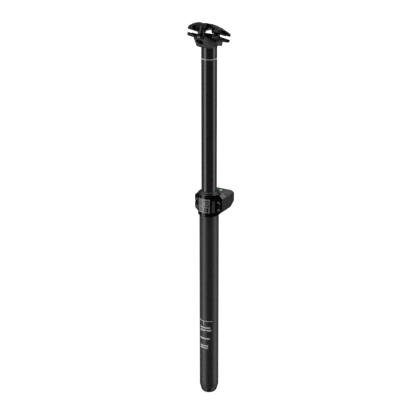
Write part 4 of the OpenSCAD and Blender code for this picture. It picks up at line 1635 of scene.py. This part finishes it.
    def plug(self) -> Blank:
        """A small bright stud in the back of the band: a painted highlight on the band.

        Returns:
            The plug.
        """
        stud = Blank.rod(1, (0, 0, 0), (0, 0, 0.75), sides=self.HOLE)
        stud.placed(Matrix.Diagonal((2.8, 1.3, 1, 1))).softened(0.25)
        turn = Matrix.Translation((-0.2, self.back_v, -9.4)) @ Matrix.Rotation(math.pi / 2, 4, "X")
        return stud.placed(self.rails @ turn)

    def grooves(self) -> tuple[Blank, Blank]:
        """The two grooves that hold the rails."""
        left = Blank.rod(self.rail_r, (-self.rail_x, -BIG, 0), (-self.rail_x, BIG, 0), self.ROD)
        return left, left.copied().moved(2 * self.rail_x, 0, 0)

    def cradle(self) -> Blank:
        """The lower half of the clamp.

        Returns:
            Two ears and the bridge between them, hollowed at its ends.
        """
        half, lip = self.half_length, self.lip
        ear = [(-half - 0.8, -lip), (-half - 0.8, -lip - 4.4), (-half + 3, -7.6), (half - 5, -7.6),
               (half, -lip - 3.6), (half, -lip)]
        right = Blank.plate(ear, Facing.ALONG_X, self.rail_x - 7, self.half_width)
        body = right.softened(0.6, segments=3).copied().joined(right.mirrored())
        inner = self.rail_x - 2
        body.joined(Blank.block((-inner, -14.0, -5), (inner, 14.5, -lip)),
                    Blank.block((-14.4, -14.0, -4), (14.4, 14.5, 0.6)).softened(0.7))
        cuts = [*self.grooves(), Blank.block((-5.4, -8, -3.4), (5.4, 8, 2)).softened(0.8)]
        for end in self.ENDS:
            near, far = sorted((end * 30, end * 11))
            hollow = Blank.block((9.8, near, -5.6), (18.0, far, 1)).softened(0.9)
            near, far = sorted((end * 1.4, end * 14))
            side = Blank.block((self.half_width - 0.8, near, -6.2),
                               (self.half_width + 2, far, -3.4)).softened(0.3)
            cuts += [*hollow.both(), *side.both()]
        return body.cut(*cuts).placed(self.rails)

    def rocker(self) -> Blank:
        """The round foot of the cradle, which lies in the trough, dressed black as painted shade
        under the cradle.
        """
        foot = Blank.trough(self.trough, self.rocker_half, self.axis_w)
        return foot.within(Blank.block((-20, -14, -13), (20, 14, -4.9))).placed(self.rails)

    def section(self) -> Outline:
        """The upper clamp seen along the rails.

        Returns:
            Its outline.
        """
        x, half, top = self.rail_x, self.half_width, self.clamp_top
        right = [(half, self.lip), (half, 6.2), (half - 2.0, 8.3), (x, 10.6), (x - 3, 12.2),
                 (x - 6, 13.4), (x - 9, top)]
        inner = [(x - 6.4, self.lip), (x - 8.6, self.bridge_foot - 2), (x - 12, self.bridge_foot)]
        left = [(-px, w) for px, w in reversed(right)]
        return right + left + [(-px, w) for px, w in inner] + list(reversed(inner))

    def clamp(self) -> Blank:
        """The upper half of the clamp.

        Returns:
            Both wings with their hollows, the crown between them and the two nuts' arms.
        """
        body = Blank.plate(self.section(), Facing.ALONG_Y, -self.half_length - 2.6,
                           self.half_length - 0.4).softened(0.7, segments=3)
        slope = Blank.plate([(3, 12.4), (21, 5.9), (21, 20), (3, 20)], Facing.ALONG_X, 11.0, 30)
        side = Blank.plate([(-14.0, 3.6), (6.5, 3.6), (6.2, 6.8), (1, 8.6), (-12, 8.6),
                            (-14.0, 7.6)], Facing.ALONG_X, 20.4, 30)
        rear = Blank.plate([(10.6, 0.6), (18.2, 0.6), (18.4, 3.6), (20.4, 6.2), (18.2, 9.4),
                            (10.6, 10.2)], Facing.ALONG_Y, -30, -15.0)
        front = Blank.plate([(12.4, 3.0), (17.8, 3.0), (19.4, 6.0), (17.0, 8.0), (12.4, 8.4)],
                            Facing.ALONG_Y, 14.0, 25)
        hollows = [*slope.both()]
        for hollow in (side, rear, front):
            hollows += hollow.softened(0.6).both()
        body.cut(*hollows)
        half, foot = self.crown_half, self.bridge_foot
        crown = Blank.block((-half, -10.0, foot + 1), (half, 12.0, self.crown_top))
        body.joined(crown.softened(1.2, segments=3))
        for end in self.ENDS:
            near, far = sorted((end * 13.0, end * self.bolt_v))
            arm = Blank.block((-self.arm_half, near, foot),
                              (self.arm_half, far, self.nut_w + self.bar_radius - 0.5))
            body.joined(arm.softened(0.8))
        return body.cut(*self.grooves(), *self.bolt_rooms()).placed(self.rails)

    def bolt_rooms(self) -> list[Blank]:
        """The slots of both bolts and the bores of their nuts.

        Returns:
            The rooms to cut.
        """
        rooms, w = [], self.nut_w
        for v in self.bolts:
            rear, front = (self.upright(self.slot_radius, v + slide, -4, 30, self.HOLE)
                           for slide in (-self.bolt_slide, self.bolt_slide))
            rooms += [rear.joined(front),
                      Blank.rod(self.nut_radius + 0.55, (-20, v, w), (20, v, w))]
        return rooms

    def bars(self) -> Blank:
        """The round bars that hold the barrel nuts, in a darker copy of the clamp's finish: painted
        shade.

        Returns:
            The two bars.
        """
        bars, half, w = Blank(), self.bar_half, self.nut_w
        for v in self.bolts:
            bar = Blank.rod(self.bar_radius, (-half, v, w), (half, v, w), self.ROD)
            bars.added(bar.softened(0.5).cut(*self.bolt_rooms()))
        return bars.placed(self.rails)

    def columns(self) -> Blank:
        """The round columns under the bars, in a lighter, glossier copy of the clamp's finish:
        painted highlight.

        Returns:
            The two columns.
        """
        columns = Blank()
        for v in self.bolts:
            column = self.upright(self.bar_radius, v, -3.4, self.nut_w, self.ROD)
            columns.added(column.softened(0.5).cut(*self.bolt_rooms()))
        return columns.placed(self.rails)

    def bolt(self, v: float) -> Blank:
        """A clamp bolt with its head down and a hexagon socket.

        Args:
            v: Its place along the rails.

        Returns:
            The bolt.
        """
        foot = self.seat - 1
        head = self.upright(self.bolt_head, 0, foot - 3.2, foot, 48).softened(0.5)
        shank = self.upright(self.bolt_radius, 0, foot - 1, self.bolt_top, self.HOLE)
        head.joined(shank.softened(0.4))
        head.cut(self.upright(2.3, 0, foot - 6, foot - 2, 6))
        return head.moved(0, v, 0).placed(self.rails)

    def barrel_nut(self, v: float) -> Blank:
        """A barrel nut, bored across for its bolt.

        Args:
            v: Its place along the rails.

        Returns:
            The nut.
        """
        half, w = self.nut_half, self.nut_w
        nut = Blank.rod(self.nut_radius, (-half, 0, w), (half, 0, w)).softened(0.5)
        nut.cut(self.upright(self.bolt_radius + 0.05, 0, -10, 20, self.HOLE))
        return nut.moved(0, v, 0).placed(self.rails)

    def washers(self) -> Blank:
        """The washers under the bolts' heads.

        Returns:
            The two washers.
        """
        pair = Blank()
        for v in self.bolts:
            flat = Blank.turned(ring(4.4, 2.6, self.seat - 1, self.seat, 0.2), steps=48)
            pair.added(flat.moved(0, v, 0).placed(self.rails))
        return pair


class Inside:
    """The solids that stay as packed, with their finishes."""

    DRESSES: ClassVar[dict[Dress, tuple[str, ...]]] = {
        Dress.BARE_ALLOY: ("inner_tube", "guide_shaft", "stanchion_plug"),
        Dress.RUBBER: ("end_cap_seal", "bottom_bumper", "shaft_seal", "piston_seal",
                       "top_out_bumper", "head_seal"),
        Dress.BRASS: ("inflation_valve", "valve_core_pin", "gearbox", "air_valve_body",
                      "battery_contacts", "anti_rotation_keys"),
        Dress.END_CAP: ("valve_dust_cap",),
        Dress.BUSHING: ("upper_bushing", "travel_spacer", "glide_ring"),
        Dress.BOARD: ("circuit_board",),
        Dress.BRIGHT_STEEL: ("motor", "cam", "air_valve_pin", "latch_pin"),
    }

    def build(self) -> None:
        """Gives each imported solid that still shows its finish."""
        for dress, nodes in self.DRESSES.items():
            for node in nodes:
                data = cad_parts[node].data
                data.materials.clear()
                data.materials.append(dress.material())
                LOG.info("%s: %s", node, dress.value.name)


@dataclass(frozen=True)
class Panel:
    """A tall soft light, seen as a bright band in the polish of the tubes."""

    azimuth: float
    half_width: float
    blur: float
    strength: float

    @property
    def limits(self) -> tuple[float, float]:
        """Cosines of the angles where its light begins and where it is full."""
        return (math.cos(math.radians(self.half_width + self.blur)),
                math.cos(math.radians(max(0, self.half_width - self.blur))))


@dataclass
class Studio:
    """Pale floor, white surround, two tall side lights and a top light, and the camera."""

    WHITE: ClassVar[Colour] = (1, 1, 1)
    SOFT: ClassVar[str] = "SMOOTHSTEP"

    azimuth: float = 30.0
    elevation: float = 21.0
    distance: float = 2.234
    aim_z: float = 0.0095
    aside: float = 0.00182
    lens: float = 119.86
    sensor: float = 36.0
    floor_z: float = -0.3201
    floor_size: float = 9.0
    floor_grey: float = 0.1
    floor_glow: float = 0.96
    floor_roughness: float = 0.9
    panels: tuple[Panel, ...] = (Panel(-64, 16, 6, 2.5), Panel(78, 17, 6, 1.7),
                                 Panel(180, 75, 25, 0.16))
    fill: float = 0.05
    sky_rise: tuple[float, float] = (0.42, 0.72)
    sky: float = 2.0
    far_rise: tuple[float, float] = (-0.35, 0.2)
    far_share: tuple[float, float] = (0.12, 1.3)
    lamp_turn: float = 160.0
    lamp_out: float = 0.35
    lamp_z: float = 1.8
    lamp_size: float = 1.1
    lamp_power: float = 3.5

    def build(self) -> None:
        """Makes the surround, the floor, the top light and the camera."""
        self.surround()
        self.floor()
        self.top_light()
        self.camera()
        bpy.context.scene.view_settings.view_transform = "Standard"

    def towards(self, turn: float) -> Vector:
        """A level direction, turned to the right of the camera's by an angle."""
        angle = math.radians(self.azimuth + turn)
        return Vector((math.sin(angle), -math.cos(angle), 0))

    def surround(self) -> None:
        """A white surround whose reflections hold the side lights."""
        world = bpy.data.worlds.new("surround")
        bpy.context.scene.world = world
        world.use_nodes = True
        graph = Graph(world.node_tree)
        where = graph.add("TexCoord").outputs["Generated"]
        level = graph.vector("MULTIPLY", where, (1, 1, 0)).outputs["Vector"]
        unit = graph.vector("NORMALIZE", level).outputs["Vector"]
        bands = self.sky_light(graph, where)
        for panel in self.panels:
            towards = graph.vector("DOT_PRODUCT", unit, self.towards(panel.azimuth))
            band = graph.ramp(towards.outputs["Value"], *panel.limits, 0, panel.strength, self.SOFT)
            bands = graph.math("ADD", bands, band)
        seen = graph.add("Background", {"Color": self.WHITE})
        lit = graph.add("Background", {"Strength": graph.math("ADD", bands, self.fill)})
        mix = graph.add("MixShader", {"Fac": graph.add("LightPath").outputs["Is Camera Ray"],
                                      1: lit.outputs["Background"],
                                      2: seen.outputs["Background"]})
        graph.add("OutputWorld", {"Surface": mix.outputs["Shader"]})

    def sky_light(self, graph: Graph, where: Socket) -> Socket:
        """The light from above, stronger beyond the seatpost than on the camera's side.

        Args:
            graph: The surround's nodes.
            where: The direction that is looked in.

        Returns:
            Its strength.
        """
        height = graph.add("SeparateXYZ", {0: where}).outputs["Z"]
        sky = graph.ramp(height, *self.sky_rise, 0, self.sky, self.SOFT)
        far = graph.vector("DOT_PRODUCT", where, self.towards(180)).outputs["Value"]
        share = graph.ramp(far, *self.far_rise, *self.far_share, self.SOFT)
        return graph.math("MULTIPLY", sky, share)

    def floor(self) -> None:
        """A plain pale floor just under the end cap."""
        mesh = bmesh.new()
        bmesh.ops.create_grid(mesh, x_segments=1, y_segments=1, size=self.floor_size,
                              matrix=Matrix.Translation((0, 0, self.floor_z)))
        data = bpy.data.meshes.new("floor")
        mesh.to_mesh(data)
        mesh.free()
        material = bpy.data.materials.new("pale_floor")
        material.use_nodes = True
        graph = Graph(material.node_tree)
        shader = graph.add("BsdfPrincipled", {
            "Base Color": (self.floor_grey,) * 3, "Roughness": self.floor_roughness,
            "Emission Color": self.WHITE, "Emission Strength": self.floor_glow})
        graph.add("OutputMaterial", {"Surface": shader.outputs["BSDF"]})
        data.materials.append(material)
        floor = in_scene("floor", data)
        floor.visible_glossy = False
        floor.visible_diffuse = False

    def top_light(self) -> None:
        """A broad soft light above and a little beyond the seatpost."""
        light = bpy.data.lights.new("top_light", "AREA")
        light.size = self.lamp_size
        light.energy = self.lamp_power
        place = self.towards(self.lamp_turn) * self.lamp_out + Vector((0, 0, self.lamp_z))
        self.aimed(in_scene("top_light", light), place, place)

    def camera(self) -> None:
        """The camera at the photograph's angle."""
        raised = math.radians(self.elevation)
        back = self.towards(0) * math.cos(raised) + Vector((0, 0, math.sin(raised)))
        aim = Vector((0, 0, self.aim_z)) - self.towards(90) * self.aside
        data = bpy.data.cameras.new("camera")
        data.lens = self.lens
        data.sensor_width = self.sensor
        camera = in_scene("camera", data)
        self.aimed(camera, aim + back * self.distance, back)
        bpy.context.scene.camera = camera

    @staticmethod
    def aimed(held: bpy.types.Object, place: Vector, back: Vector) -> None:
        """Puts a light or a camera in its place.

        Args:
            held: The light or the camera.
            place: Where it stands.
            back: The direction that it looks away from.
        """
        held.location = place
        held.rotation_mode = "QUATERNION"
        held.rotation_quaternion = back.to_track_quat("Z", "Y")


def main() -> None:
    """Builds every sub-assembly in order."""
    logging.basicConfig(level=logging.INFO, format="%(name)s: %(message)s")
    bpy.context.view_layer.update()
    for part in (LowerTube(), Collar(), Module(), Stanchion(), SaddleHead(), Inside(), Studio()):
        LOG.info("building %s", type(part).__name__)
        part.build()


if __name__ == "__main__":
    main()
